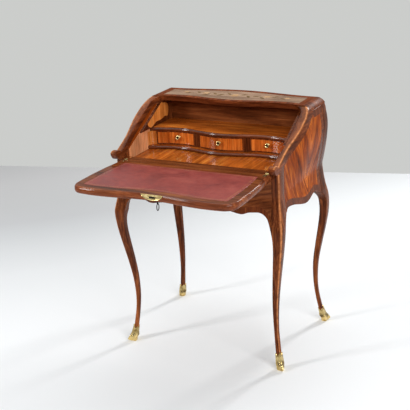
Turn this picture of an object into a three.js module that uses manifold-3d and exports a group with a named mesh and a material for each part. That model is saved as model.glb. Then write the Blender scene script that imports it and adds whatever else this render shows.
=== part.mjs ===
// Slant-front writing desk with bombe sides, cabriole legs and a fall front, shown open.
// Millimetres, +Z up, front towards -Y. Heights are from the floor. While the pieces are
// made, y = 0 lies midway between the front and back feet; at the end the whole desk moves
// along Y so that the middle of its footprint, with the fall open, is the origin.
import * as THREE from "three";
import { mergeVertices } from "three/addons/utils/BufferGeometryUtils.js";
import Module from "manifold-3d";

const wasm = await Module();
wasm.setup();

// Overall sizes
const topHeight = 920;
const slopeRise = 174; // hinge line to top surface
const footY = 216; // from y = 0 to the middle of each foot
const waistHalf = 322; // half the width at the waist
const hingeHeight = topHeight - slopeRise;

// Carcass, from the overall sizes
const frontLead = 3; // the carcass front, which is also the hinge line, past the feet
const backInset = 11; // the back corners at the waist, inside the feet
const topBackInset = 9; // the same corners at the top surface, inside the waist's
const frontDepth = footY + frontLead;
const backDepth = footY - backInset;
const topBackDepth = backDepth - topBackInset;
const topDepth = 130; // of the top surface, where the fall is longest
const topInset = 19; // the top's ends inside the waist's
const topHalf = waistHalf - topInset;
const sideBulge = 23; // how far the sides swell out above the waist
const backBulge = 6; // how far the back corners swell out above the waist
const backBow = 30; // how far the middle of the back bows out past its corners
const shoulderDrop = 45; // height of the rounded shoulder below the top
const waistDrop = 81; // hinge line to waist
const waistHeight = hingeHeight - waistDrop;
const kneeDrop = 125; // waist to knee
const kneeHeight = waistHeight - kneeDrop;
const sideFlare = 16; // how far the side aprons spread outwards from waist to knee
const endFlare = 22; // the same for the front and the back

// Gaps
const gap = 0.3; // between pieces that are cut to one another
const fallGap = 1.2; // round the closed fall
const slide = 0.5; // round a drawer
const overrun = 5; // what a cut runs past the face it leaves by

// Fall front
const fallThick = 24;
const fallWave = 18; // how much longer it is at the quarters than in the middle
const fallWavePitch = 410;
const fallInset = 15; // its sides inside the waist's
const fallHalf = waistHalf - fallInset; // half its greatest width
const fallTaper = 11; // how much narrower each side is at the hinge line
const fallCorner = 40;
const lipWidth = 9;
const leatherMargin = 35; // from the fall's three free edges to the leather
const leatherBack = 38; // hinge line to the leather
const leatherRecess = 2.2;
const leatherThick = 2;

// Legs
const frontFootInset = 11; // a front foot's middle inside the waist's side
const backFootSpread = 3; // a back foot's middle outside it
const legReach = 26; // how far a leg's outer arris stands out at the knee, past its foot
const kneeSide = 44; // side of the section where the leg enters the carcass
const postDepth = 46; // along Y, in the carcass
const postDrop = 73; // waist to the height where a leg has become the corner post
const postHeight = waistHeight - postDrop;
const legRounding = 0.22; // share of the leg's side that its outer arris rounds off
const innerRounding = 0.36; // the same for its inner corner

// Inside the carcass
const sideInset = 28; // the sides' inner faces inside the waist's outer ones
const sideInner = waistHalf - sideInset; // half the clear width between the sides
const panelThick = 16;
const apronThick = 18;
const railDepth = 35; // hinge rail along Y
const railThick = 24;
const bedDrop = 14; // bed surface below the hinge rail's
const bedThick = 18;
const bottomDrop = 35; // waist to the underside of the bottom
const bottomThick = 10;

// Drawer nest
const nestSpace = 55; // between the drawer space's back and the back corners
const nestBack = backDepth - nestSpace;
const nestBaseThick = 12;
const drawerHeight = 53;
const shelfThick = 13;
const nestBackThick = 8;
const nestWavePitch = 340;
const nestWave = 28; // how far the middle stands in front of the quarters
const nestBaseDepth = 162; // from the nest's back to each front at its quarters
const nestShelfDepth = 142;
const nestFaceDepth = 135;
const drawerFaceY = nestBack - nestFaceDepth;
const drawerFrontThick = 12;
const drawerWall = 6;
const drawerFloor = 5;
const drawerDepth = 118;
const centreDrawerHalf = 91.5;
const dividerThick = 22;
const nestEndWide = 21.7; // the nest's end posts across
const nestEndX = sideInner - nestEndWide;
const cheekThick = 9;

const woods = {
  kingwood: { color: 0x5a2c1a, roughness: 0.32, metalness: 0 },
  tulipwood: { color: 0xa85a28, roughness: 0.32, metalness: 0 },
  oak: { color: 0x9a7448, roughness: 0.6, metalness: 0 },
};
const finishes = {
  ...woods,
  gilt: { color: 0xb8903c, roughness: 0.3, metalness: 1 },
  steel: { color: 0x4a4238, roughness: 0.45, metalness: 1 },
  leather: { color: 0x7c1f22, roughness: 0.55, metalness: 0 },
};

const carcass = new THREE.Group();
const fall = new THREE.Group();
const desk = new THREE.Group();
desk.add(carcass, fall);

function place(parent, name, geometry, finish) {
  geometry.computeVertexNormals();
  const material = new THREE.MeshStandardMaterial({ ...finishes[finish] });
  const mesh = new THREE.Mesh(geometry, material);
  mesh.name = name;
  parent.add(mesh);
  return mesh;
}

// Small helpers on numbers

const lerp = THREE.MathUtils.lerp;
const clamp = THREE.MathUtils.clamp;

// Reads a table of [place share, value share] pairs, straight between its rows.
function fromTable(rows, at) {
  if (at <= rows[0][0]) return rows[0][1];
  for (let k = 1; k < rows.length; k += 1) {
    const [a, from] = rows[k - 1];
    const [b, to] = rows[k];
    if (at <= b) return lerp(from, to, (at - a) / (b - a));
  }
  return rows.at(-1)[1];
}

function steps(from, to, count) {
  return Array.from({ length: count + 1 }, (_, k) => lerp(from, to, k / count));
}

// A wave that is 0 in the middle of the desk and 1 a half pitch to either side.
function wave(x, pitch) {
  return (1 - Math.cos((2 * Math.PI * x) / pitch)) / 2;
}

// Solids from rows of points

function volumeOf(points, faces) {
  let sum = 0;
  for (let k = 0; k < faces.length; k += 3) {
    const [a, b, c] = [points[faces[k]], points[faces[k + 1]], points[faces[k + 2]]];
    sum += a[0] * (b[1] * c[2] - b[2] * c[1]);
    sum += a[1] * (b[2] * c[0] - b[0] * c[2]);
    sum += a[2] * (b[0] * c[1] - b[1] * c[0]);
  }
  return sum;
}

// Closed surface from points and triangles; turned round if its faces point inwards.
function surface(points, faces) {
  if (volumeOf(points, faces) < 0) faces.reverse();
  const geometry = new THREE.BufferGeometry();
  geometry.setAttribute("position", new THREE.Float32BufferAttribute(points.flat(), 3));
  geometry.setIndex(faces);
  return geometry;
}

function quad(faces, a, b, c, d) {
  faces.push(a, b, c, a, c, d);
}

// A panel between two skins, each a grid of points of the same size.
function panel(outer, inner) {
  const rows = outer.length;
  const cols = outer[0].length;
  const points = [...outer.flat(), ...inner.flat()];
  const faces = [];
  const o = (i, j) => i * cols + j;
  const n = (i, j) => rows * cols + i * cols + j;
  for (let i = 0; i < rows - 1; i += 1) {
    for (let j = 0; j < cols - 1; j += 1) {
      quad(faces, o(i, j), o(i + 1, j), o(i + 1, j + 1), o(i, j + 1));
      quad(faces, n(i, j), n(i, j + 1), n(i + 1, j + 1), n(i + 1, j));
    }
    quad(faces, o(i, 0), n(i, 0), n(i + 1, 0), o(i + 1, 0));
    quad(faces, o(i, cols - 1), o(i + 1, cols - 1), n(i + 1, cols - 1), n(i, cols - 1));
  }
  for (let j = 0; j < cols - 1; j += 1) {
    quad(faces, o(0, j), o(0, j + 1), n(0, j + 1), n(0, j));
    quad(faces, o(rows - 1, j), n(rows - 1, j), n(rows - 1, j + 1), o(rows - 1, j + 1));
  }
  return surface(points, faces);
}

// A solid lofted through closed rings of equally many points, flat across both ends.
// Two of the three axes, named by number, carry the shape of the end faces.
function loft(rings, [across, along] = [0, 1]) {
  const count = rings[0].length;
  const points = rings.flat();
  const faces = [];
  for (let i = 0; i < rings.length - 1; i += 1) {
    for (let j = 0; j < count; j += 1) {
      const k = (j + 1) % count;
      quad(faces, i * count + j, i * count + k, (i + 1) * count + k, (i + 1) * count + j);
    }
  }
  const flat = (ring) => ring.map((p) => new THREE.Vector2(p[across], p[along]));
  for (const [start, ring, turned] of [
    [0, rings[0], true],
    [(rings.length - 1) * count, rings.at(-1), false],
  ]) {
    const contour = flat(ring);
    const round = THREE.ShapeUtils.area(contour) > 0;
    for (const [a, b, c] of THREE.ShapeUtils.triangulateShape(contour, [])) {
      const same = THREE.ShapeUtils.area([contour[a], contour[b], contour[c]]) > 0 === round;
      const forward = same !== turned;
      faces.push(start + a, start + (forward ? b : c), start + (forward ? c : b));
    }
  }
  return surface(points, faces);
}

// A board of even thickness under an outline of [x, y] points.
function board(outline, low, high) {
  return loft([low, high].map((z) => outline.map(([x, y]) => [x, y, z])));
}

function block(x0, x1, y0, y1, z0, z1) {
  const geometry = new THREE.BoxGeometry(x1 - x0, y1 - y0, z1 - z0);
  return geometry.translate((x0 + x1) / 2, (y0 + y1) / 2, (z0 + z1) / 2);
}

// A round bar along an axis, "x" or "z", through a point.
function bar(axis, radius, from, to, [x, y, z], sides) {
  const geometry = new THREE.CylinderGeometry(radius, radius, to - from, sides);
  const middle = (from + to) / 2;
  if (axis === "x") return geometry.rotateZ(Math.PI / 2).translate(middle, y, z);
  return geometry.rotateX(Math.PI / 2).translate(x, y, middle);
}

// Joins and cuts

function solidOf(geometry) {
  const bare = new THREE.BufferGeometry();
  bare.setAttribute("position", geometry.getAttribute("position"));
  bare.setIndex(geometry.index);
  const merged = mergeVertices(bare);
  return new wasm.Manifold(
    new wasm.Mesh({
      numProp: 3,
      vertProperties: new Float32Array(merged.attributes.position.array),
      triVerts: new Uint32Array(merged.index.array),
    }),
  );
}

function geometryOf(solid) {
  const mesh = solid.getMesh();
  const geometry = new THREE.BufferGeometry();
  geometry.setAttribute("position", new THREE.BufferAttribute(mesh.vertProperties, 3));
  geometry.setIndex(new THREE.BufferAttribute(mesh.triVerts, 1));
  return geometry;
}

function cut(body, ...tools) {
  const left = tools.reduce((rest, tool) => rest.subtract(solidOf(tool)), solidOf(body));
  return geometryOf(left);
}

function join(...bodies) {
  const [first, ...others] = bodies.map(solidOf);
  return geometryOf(others.reduce((all, next) => all.add(next), first));
}

// The slope: the outer face of the closed fall reaches the top surface where it is longest.
const slopeRun = frontDepth + topBackDepth - topDepth;
const fallLongest = Math.sqrt(slopeRise ** 2 + slopeRun ** 2 - fallThick ** 2);
const fallMiddle = fallLongest - fallWave; // hinge line to free edge, in the middle
const slopeAngle = Math.atan2(slopeRise, slopeRun) - Math.atan2(fallThick, fallLongest);
const slopeCos = Math.cos(slopeAngle);
const slopeSin = Math.sin(slopeAngle);

// Point s up the slope from the hinge line and n out from it, as [y, z].
function onSlope(s, n) {
  return [-frontDepth + s * slopeCos - n * slopeSin, hingeHeight + s * slopeSin + n * slopeCos];
}

// Height of the plane that lies n out from the slope, over y.
function slopeHeight(y, n) {
  return hingeHeight + ((y + frontDepth) * slopeSin + n) / slopeCos;
}

function slopeDepthAt(z, n) {
  return -frontDepth + ((z - hingeHeight) * slopeCos - n) / slopeSin;
}

// Hinge line to free edge of the fall, over x.
function fallLength(x) {
  return fallMiddle + fallWave * wave(clamp(x, -fallHalf, fallHalf), fallWavePitch);
}

// Half the fall's width at s from the hinge line.
const fallWidthShares = [
  [0, 0],
  [0.15, 0.12],
  [0.35, 0.7],
  [0.6, 1],
  [1, 0.82],
];
function fallHalfAt(s) {
  return fallHalf - fallTaper * (1 - fromTable(fallWidthShares, s / fallMiddle));
}

// Corner of the fall's outline drawn in by an inset, as [x, s] points from its side round to
// its front edge.
const cornerSteps = 6;
const endHalf = fallHalfAt(fallMiddle);
const cornerX = endHalf - fallCorner;
function cornerArc(inset) {
  const radius = fallCorner - inset;
  return steps(0, Math.PI / 2, cornerSteps).map((a) => {
    const x = cornerX + radius * Math.cos(a);
    return [x, fallLength(x) - inset - radius * (1 - Math.sin(a))];
  });
}

// Half the fall's width at s from the hinge line, its rounded corners counted.
const fallArc = cornerArc(0);
const arcTable = fallArc.map(([x, s]) => [s, x]);
function fallEdgeAt(s) {
  const [[arcStart]] = arcTable;
  return s < arcStart ? fallHalfAt(s) : fromTable(arcTable, s);
}

// Underside of the top board: where the closed fall's inner face meets its free edge.
const [, topUnder] = onSlope(fallLongest, 0);
// The sides and front posts end a gap below the closed fall.
const ledge = -gap;

// The carcass surfaces

// Swell of the sides over height, from the waist (0) to the underside of the shoulder (1).
const swellShares = [
  [0, 0.05],
  [0.2, 0.42],
  [0.42, 0.76],
  [0.62, 0.96],
  [0.78, 1],
  [0.92, 0.86],
  [1, 0.7],
];
const shoulderHeight = topHeight - shoulderDrop;
function swell(z) {
  return fromTable(swellShares, (z - waistHeight) / (shoulderHeight - waistHeight));
}

// The sides are flat in plan towards the front and reach their full swell past the middle.
const swellLead = 49; // carcass front to where the swell starts
const swellTail = 195; // from where it is full to the back corners
const swellStart = swellLead - frontDepth;
const swellFull = backDepth - swellTail;
function sideSwellAt(y) {
  return THREE.MathUtils.smoothstep(y, swellStart, swellFull);
}

// Outward sweep of the aprons below the waist, from 0 to 1 at the knee.
const flareShape = 1.3;
function flare(z) {
  return clamp((waistHeight - z) / (waistHeight - kneeHeight), 0, 1) ** flareShape;
}

// Share of a shoulder's overhang that is left at a height: 1 below it, 0 at the top.
function shoulder(z) {
  const up = clamp((z - shoulderHeight) / shoulderDrop, 0, 1);
  return Math.sqrt(1 - up * up);
}

function sideOut(y, z) {
  const x = waistHalf + sideBulge * swell(z) * sideSwellAt(y) + sideFlare * flare(z);
  return topHalf + (x - topHalf) * shoulder(z);
}

function backCornerOut(z) {
  const y = backDepth + backBulge * swell(z) + endFlare * flare(z);
  return topBackDepth + (y - topBackDepth) * shoulder(z);
}

function backOut(x, z) {
  const inside = clamp(x / topHalf, -1, 1);
  return backCornerOut(z) + (backBow * (1 + Math.cos(Math.PI * inside))) / 2;
}

function frontOut(z) {
  return frontDepth + endFlare * flare(z);
}

// Lower edge of a side from its front end (0) to its back end (1), as a drop below
// apronHeight in sideDrops.
const apronTop = 57; // waist to apronHeight
const apronHeight = waistHeight - apronTop;
const sideDrop = 36;
const sideApronShares = [
  [0, 0.3],
  [0.02, 0.1],
  [0.05, -0.02],
  [0.1, -0.01],
  [0.22, 0.2],
  [0.33, 0.5],
  [0.44, 0.79],
  [0.52, 0.94],
  [0.58, 0.96],
  [0.65, 0.87],
  [0.72, 0.71],
  [0.78, 0.6],
  [0.84, 0.62],
  [0.9, 0.82],
  [0.96, 1.06],
  [1, 1.2],
];

// Lower edges of front and back from the middle (0) to a leg (1), as a drop below
// apronHeight in frontApronDrops or backApronDrops.
const frontApronDrop = 62;
const backApronDrop = 43;
const apronShares = [
  [0, 0.02],
  [0.3, 0.07],
  [0.48, 0.17],
  [0.58, 0.25],
  [0.64, 0.24],
  [0.7, 0.13],
  [0.77, 0.08],
  [0.83, 0.05],
  [0.87, 0.08],
  [0.91, 0.17],
  [0.95, 0.36],
  [0.975, 0.63],
  [1, 1],
];

// Legs, over the height from the floor (0) to the post (1): how far the outer arris stands
// out from the foot's middle, in reaches, and the side of the section.
const frontArrisShares = [
  [0, 0.33],
  [0.067, 0.03],
  [0.135, -0.22],
  [0.236, -0.5],
  [0.337, -0.56],
  [0.455, -0.39],
  [0.575, -0.02],
  [0.693, 0.42],
  [0.794, 0.78],
  [0.878, 0.98],
  [0.946, 1.04],
];
const backArrisShares = [
  [0, 0.33],
  [0.067, -0.02],
  [0.135, -0.32],
  [0.236, -0.66],
  [0.337, -0.75],
  [0.455, -0.61],
  [0.575, -0.2],
  [0.693, 0.26],
  [0.794, 0.57],
  [0.878, 0.62],
  [0.946, 0.5],
];
const legSideShares = [
  [0, 0.39],
  [0.135, 0.36],
  [0.236, 0.34],
  [0.337, 0.39],
  [0.455, 0.47],
  [0.575, 0.56],
  [0.693, 0.65],
  [0.794, 0.73],
  [0.878, 0.83],
  [0.946, 0.9],
];

// A smooth reading of a table, through a Catmull-Rom curve.
const splineSteps = 6; // between one row and the next
function smoothTable(rows) {
  const curve = new THREE.SplineCurve(rows.map(([a, b]) => new THREE.Vector2(a, b)));
  const fine = curve.getPoints((rows.length - 1) * splineSteps).map((p) => [p.x, p.y]);
  return (at) => fromTable(fine, at);
}
const legSide = smoothTable(legSideShares);
const archSpan = 50; // height over which a leg's inner faces spread into the aprons
const archShape = 2.2; // how late in it they spread
const outerSpan = 77; // height over which its outer faces turn into the carcass's
const legRings = 15;
const archRings = 10;
const postRings = 7;

// How far an inner face has spread: from 0 to 1 where the apron beside it ends.
function arch(z, apronEnd) {
  return clamp((z - apronEnd + archSpan) / archSpan, 0, 1) ** archShape;
}

// Heights at which the aprons beside a leg end: [across the desk, along its side].
function apronEnds(isFront) {
  const [, sideShare] = isFront ? sideApronShares[0] : sideApronShares.at(-1);
  const drop = isFront ? frontApronDrop : backApronDrop;
  return [apronHeight - drop, apronHeight - sideDrop * sideShare];
}

// A leg as its four bounds over height: outer and inner faces along X and along Y; and
// what share of its side the inner corner rounds off.
function legBounds(isFront) {
  const footX = isFront ? waistHalf - frontFootInset : waistHalf + backFootSpread;
  const arrisAt = smoothTable(isFront ? frontArrisShares : backArrisShares);
  const side = isFront ? -frontDepth : backDepth;
  const cornerY = isFront ? frontOut : backCornerOut;
  const postInner = (isFront ? frontDepth : backDepth) - postDepth;
  const [endLow, sideLow] = apronEnds(isFront);
  return (z) => {
    const share = z / postHeight;
    const arris = legReach * arrisAt(share);
    const blend = THREE.MathUtils.smoothstep(z, postHeight - outerSpan, postHeight);
    const outX = lerp(footX + arris, sideOut(side, z), blend);
    const outY = lerp(footY + arris, cornerY(z), blend);
    const across = kneeSide * legSide(share);
    return {
      outX,
      outY,
      inX: lerp(outX - across, sideInner + gap, arch(z, endLow)),
      inY: lerp(outY - across, postInner, arch(z, sideLow)),
      innerShare: innerRounding * (1 - arch(z, endLow)),
    };
  };
}

// The ring of a leg's section at a height, its outer arris and inner corner rounded. It can
// be grown all round, and its arris drawn out into a toe.
const cornerShares = [
  [0, 1],
  [0.29, 0.29],
  [1, 0],
];
const edgeShare = 0.33; // rounding of the other two corners, of the arris's
function legRing(bounds, height, [signX, signY], heightAt, grow = 0, toe = 0) {
  const { outX, outY, inX, inY, innerShare } = bounds(height);
  const side = Math.min(outX - inX, outY - inY);
  const round = legRounding * side;
  const inner = Math.max(innerShare * side, edgeShare * round);
  const small = edgeShare * round;
  const out = toe * Math.SQRT1_2;
  return [
    ...cornerShares.map(([a, b]) => [outX + grow - round * a, outY + grow - round * b]),
    [inX + small, outY + grow],
    [inX - grow, outY - small],
    ...cornerShares.map(([a, b]) => [inX - grow + inner * a, inY - grow + inner * b]),
    [outX - small, inY - grow],
    [outX + grow, inY + small],
  ].map(([x, y], k) => {
    const push = k === 1 ? out : 0;
    return [signX * (x + push), signY * (y + push), heightAt(signY * y, height)];
  });
}

// Sabots: brass shoes round the feet
const sabotHeight = 68;
const sabotWall = 2;
const sabotFloor = 6;
const toeLength = 13;
const footBottom = sabotFloor + gap;
const shoeHeights = steps(footBottom, sabotHeight, 4);

// Shape of a sabot over its height: how far its wall stands off the leg, in walls, and how
// far its outer arris reaches out as the scrolled toe, in toe lengths.
const sabotShares = [
  [0, 0.7, 0.3],
  [0.05, 1.2, 0.7],
  [0.13, 1.6, 1],
  [0.22, 1.8, 0.85],
  [0.34, 2.4, 0.4],
  [0.48, 2.1, 0.18],
  [0.7, 1.5, 0.06],
  [1, 1, 0],
];

function sabot(bounds, signs) {
  const level = (_, z) => z;
  const ringAt = (z, grow, toe) => {
    const inside = (height) => bounds(Math.max(height, footBottom));
    return legRing(inside, z, signs, level, grow, toe);
  };
  const shell = sabotShares.map(([share, off, toe]) =>
    ringAt(share * sabotHeight, gap + off * sabotWall, toe * toeLength),
  );
  const hollow = [sabotFloor, ...shoeHeights, sabotHeight + overrun].map((z) => ringAt(z, gap, 0));
  return cut(loft(shell), loft(hollow));
}

function legHeights(isFront, top) {
  const archStart = Math.min(...apronEnds(isFront)) - archSpan;
  return [
    ...shoeHeights,
    ...steps(sabotHeight, archStart, legRings).slice(1),
    ...steps(archStart, postHeight, archRings).slice(1),
    ...steps(postHeight, top, postRings).slice(1),
  ];
}

const legNames = [
  ["front_left", -1, -1],
  ["front_right", 1, -1],
  ["back_left", -1, 1],
  ["back_right", 1, 1],
];
for (const [name, signX, signY] of legNames) {
  const isFront = signY < 0;
  const bounds = legBounds(isFront);
  const top = isFront ? hingeHeight : topUnder - gap;
  // A front post ends on the slope, so its upper rings lean with it.
  const heightAt = (y, z) => {
    if (!isFront || z <= waistHeight) return z;
    const lean = (z - waistHeight) / (top - waistHeight);
    return z + (slopeHeight(y, ledge) - hingeHeight) * lean;
  };
  const signs = [signX, signY];
  const rings = legHeights(isFront, top).map((z) => legRing(bounds, z, signs, heightAt));
  place(carcass, `leg_${name}`, loft(rings), "kingwood");
  place(carcass, `sabot_${name}`, sabot(bounds, signs), "gilt");
}

// Side panels

const sideStart = -frontDepth + postDepth + gap;
const sideEnd = backDepth - postDepth - gap;
const sideColumns = 22;
const sideRows = 11;

function sidePanel(sign) {
  const topLevel = topUnder - gap;
  const slopeEnd = slopeDepthAt(topLevel, ledge);
  const lower = smoothTable(sideApronShares);
  const before = Math.round((sideColumns * (slopeEnd - sideStart)) / (sideEnd - sideStart));
  const columns = [
    ...steps(sideStart, slopeEnd, before),
    ...steps(slopeEnd, sideEnd, sideColumns - before).slice(1),
  ];
  const skin = (xAt) =>
    columns.map((y) => {
      const share = (y - sideStart) / (sideEnd - sideStart);
      const low = apronHeight - sideDrop * lower(share);
      const high = y < slopeEnd ? slopeHeight(y, ledge) : topLevel;
      return steps(low, high, sideRows).map((z) => [sign * xAt(y, z), y, z]);
    });
  return panel(skin(sideOut), skin(() => sideInner));
}

// Slope rails: proud strips flush with the closed fall, ending in a scroll nose

const railRise = 24; // how far a rail stands out of the slope
const railRound = 2.5;
const noseReach = 36; // nose tip in front of the hinge line
const noseRise = 36; // nose top above the hinge line
// Nose stations: [reach share, lower height share, upper height share].
const noseShares = [
  [1, 0.62, 0.82],
  [0.88, 0.42, 0.97],
  [0.66, 0.16, 1.03],
  [0.38, 0.05, 1],
  [0.12, 0.02, 0.9],
];
const railStations = 20;
const railStart = 14; // where the straight rail begins, from the hinge line
const railFaceShares = [0, 0.45, 0.88, 1];
// Where a rail meets the top, up the slope, and how far out the closed fall reaches there.
const railMeets = fallLength(fallHalf);
const meetX = fallEdgeAt(railMeets);

function slopeRail(sign) {
  const [, arcStart] = fallArc[0];
  const aroundCorner = fallArc.slice(1).map(([, s]) => s);
  const places = [
    ...steps(railStart, arcStart, railStations),
    ...aroundCorner.filter((s) => s < railMeets),
    railMeets,
  ];
  const edge = (s) => {
    const [lowY, lowZ] = onSlope(s, 0);
    const [highY, highZ] = onSlope(s, railRise);
    return { low: [lowY, lowZ], high: [highY, highZ] };
  };
  const nose = noseShares.map(([reach, low, high]) => {
    const y = -frontDepth - noseReach * reach;
    return { low: [y, hingeHeight + noseRise * low], high: [y, hingeHeight + noseRise * high] };
  });
  const end = edge(railMeets + fallGap - gap);
  const stations = [...nose, ...places.map(edge), end];
  const outer = stations.map(({ low, high }) =>
    railFaceShares.map((share) => {
      const y = lerp(low[0], high[0], share);
      const z = lerp(low[1], high[1], share);
      const x = sideOut(Math.max(y, -frontDepth), z) - (share === 1 ? railRound : 0);
      return [sign * x, y, z];
    }),
  );
  // A rail clears every part of the fall that swings past it, at the same radius, and the
  // corners of the closed fall.
  const inner = stations.map(({ low, high }) =>
    railFaceShares.map((share) => {
      const y = lerp(low[0], high[0], share);
      const z = lerp(low[1], high[1], share);
      const radius = Math.hypot(y + frontDepth, z - hingeHeight);
      const s = (y + frontDepth) * slopeCos + (z - hingeHeight) * slopeSin;
      return [sign * (Math.max(fallEdgeAt(s), fallEdgeAt(radius)) + fallGap), y, z];
    }),
  );
  return panel(outer, inner);
}

for (const [side, sign] of [
  ["left", -1],
  ["right", 1],
]) {
  place(carcass, `side_panel_${side}`, sidePanel(sign), "tulipwood");
  place(carcass, `slope_rail_${side}`, slopeRail(sign), "kingwood");
}

// Back panel and front apron

const backColumns = 18;
const backRows = 8;
const frontColumns = 28;
const frontRows = 4;
const apronLower = smoothTable(apronShares);

function apronEdge(x, drop) {
  return apronHeight - drop * apronLower(Math.abs(x) / sideInner);
}

// Columns across the carcass, closer together towards the legs.
const crowding = 0.5;
function spread(count) {
  const half = sideInner - gap;
  return steps(-1, 1, count).map((t) => half * ((1 + crowding) * t - crowding * t ** 3));
}

function backPanel() {
  const columns = spread(backColumns);
  const skin = (inset) =>
    columns.map((x) =>
      steps(apronEdge(x, backApronDrop), topUnder - gap, backRows).map((z) => [
        x,
        backOut(x, z) - inset,
        z,
      ]),
    );
  return panel(skin(0), skin(panelThick));
}
place(carcass, "back_panel", backPanel(), "kingwood");

const railUnder = hingeHeight - railThick;
function frontApron() {
  const columns = spread(frontColumns);
  const skin = (inset) =>
    columns.map((x) =>
      steps(apronEdge(x, frontApronDrop), railUnder - gap, frontRows).map((z) => [
        x,
        inset - frontOut(z),
        z,
      ]),
    );
  return panel(skin(0), skin(apronThick));
}
place(carcass, "front_apron", frontApron(), "kingwood");

// Top board: rings of its outline, from the underside to the flat top

const topRingShares = [0, 0.25, 0.5, 0.72, 0.88, 0.97, 1];
const topFrontPoints = 11; // from the middle to where a corner of the fall starts
const topSidePoints = 4;
const topBackPoints = 18;

// Right half of the top's front edge as [x, s] points: along the closed fall's front edge,
// round its corner as far as the rail's end, and straight on from there.
const topEdge = [
  ...steps(0, cornerX, topFrontPoints).map((x) => [x, fallLength(x)]),
  ...fallArc.filter(([x]) => x > cornerX && x < meetX).toReversed(),
  [meetX, railMeets],
];

function topOutline(z) {
  const depthAt = (s) => -frontDepth + (s + fallGap - (z - hingeHeight) * slopeSin) / slopeCos;
  const frontY = depthAt(railMeets);
  const backX = sideOut(backDepth, z);
  const frontX = sideOut(frontY, z);
  const backY = backOut(topHalf, z);
  const right = [...topEdge.map(([x, s]) => [x, depthAt(s)]), [frontX, frontY]];
  const left = right.slice(1).map(([x, y]) => [-x, y]);
  const front = [...left.toReversed(), ...right];
  const end = steps(frontY, backY, topSidePoints)
    .slice(1, -1)
    .map((y) => [sideOut(y, z), y]);
  const back = steps(1, -1, topBackPoints).map((share) => [share * backX, backOut(share * backX, z)]);
  const otherEnd = end.toReversed().map(([x, y]) => [-x, y]);
  return [...front, ...end, ...back, ...otherEnd].map(([x, y]) => [x, y, z]);
}
const lockX = 7; // the lock stands a little right of the middle
const boltWide = 20;
const boltThick = 5;
const boltThrow = 8;
const boltDepth = fallThick / 2; // bolt's middle below the writing surface
const boltRoom = 1; // clearance round the bolt in its mortise

// Mortise for the bolt in the top's front edge, square to the slope.
function boltMortise() {
  const half = boltWide / 2 + boltRoom;
  const reach = boltThrow + boltRoom + fallGap;
  const corners = [
    [fallMiddle - overrun, boltDepth - boltThick / 2 - boltRoom],
    [fallMiddle + reach, boltDepth - boltThick / 2 - boltRoom],
    [fallMiddle + reach, boltDepth + boltThick / 2 + boltRoom],
    [fallMiddle - overrun, boltDepth + boltThick / 2 + boltRoom],
  ].map(([s, n]) => onSlope(s, n));
  return loft(
    [lockX - half, lockX + half].map((x) => corners.map(([y, z]) => [x, y, z])),
    [1, 2],
  );
}
const topRings = topRingShares.map((share) => topOutline(lerp(topUnder, topHeight, share)));
place(carcass, "top_board", cut(loft(topRings), boltMortise()), "kingwood");

// Hinge rail, bed and bottom

const railFront = -frontDepth + gap;
const railBack = -frontDepth + railDepth;
const bedHeight = hingeHeight - bedDrop;
const bottomHeight = waistHeight - bottomDrop;
const bedBack = backDepth - panelThick - overrun;
const insideHalf = sideInner - gap;

// Hinges: two flush leaves folding about a pin on the hinge line, at each end
const hingeInset = 15; // each hinge's middle inside the carcass's side
const hingeX = sideInner - hingeInset;
const hingeWide = 12;
const leafThick = 1.6;
const leafLong = 30;
const knuckleRadius = 2.8;
const pinRadius = 1.1;
const pinRoom = 0.1;
const knuckleRoom = 0.5;
const knuckleSides = 12;
const fixedKnuckle = 3.4; // each outer knuckle, along the pin
const leafHalf = hingeWide / 2;

function hingeRecess(x, direction) {
  const far = direction * (leafLong + slide);
  return block(
    x - leafHalf - slide,
    x + leafHalf + slide,
    -frontDepth + Math.min(far, 0),
    -frontDepth + Math.max(far, 0),
    hingeHeight - leafThick - gap,
    hingeHeight + overrun,
  );
}

function knuckleRecess(x) {
  const half = leafHalf + slide;
  const centre = [0, -frontDepth, hingeHeight];
  return bar("x", knuckleRadius + knuckleRoom, x - half, x + half, centre, knuckleSides);
}

let railBody = block(-insideHalf, insideHalf, railFront, railBack, railUnder, hingeHeight);
for (const x of [-hingeX, hingeX]) {
  railBody = cut(railBody, hingeRecess(x, 1), knuckleRecess(x));
}
place(carcass, "hinge_rail", railBody, "kingwood");
const bedFront = railBack + gap;
const bed = block(-insideHalf, insideHalf, bedFront, bedBack, bedHeight - bedThick, bedHeight);
place(carcass, "writing_bed", bed, "tulipwood");
const bottomFront = apronThick + gap - frontDepth;
const bottom = block(
  -insideHalf,
  insideHalf,
  bottomFront,
  bedBack,
  bottomHeight,
  bottomHeight + bottomThick,
);
place(carcass, "carcass_bottom", bottom, "oak");

// Drawer nest

function nestFront(quarterY, x) {
  return quarterY - nestWave * (1 - wave(x, nestWavePitch));
}

function wavyBoard(quarterY, half, back, low, high, pieces) {
  const front = steps(-half, half, pieces).map((x) => [x, nestFront(quarterY, x)]);
  return board([...front, [half, back], [-half, back]], low, high);
}

const nestPieces = 28;
const baseTop = bedHeight + gap + nestBaseThick;
const shelfUnder = baseTop + drawerHeight + slide;
const shelfTop = shelfUnder + shelfThick;
for (const [name, depth, low, high] of [
  ["nest_base", nestBaseDepth, bedHeight + gap, baseTop],
  ["nest_shelf", nestShelfDepth, shelfUnder, shelfTop],
]) {
  const moulded = wavyBoard(nestBack - depth, insideHalf, nestBack, low, high, nestPieces);
  place(carcass, name, moulded, "kingwood");
}

// An upright of the nest between two x, its front on the drawers' wave.
function upright(x0, x1, pieces) {
  const front = steps(x0, x1, pieces).map((x) => [x, nestFront(drawerFaceY, x)]);
  return board([...front, [x1, nestBack], [x0, nestBack]], baseTop + gap, shelfUnder - gap);
}
const dividerX = centreDrawerHalf + slide;
const outerDrawerX = dividerX + dividerThick + slide;
const uprightPieces = 3;

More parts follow.
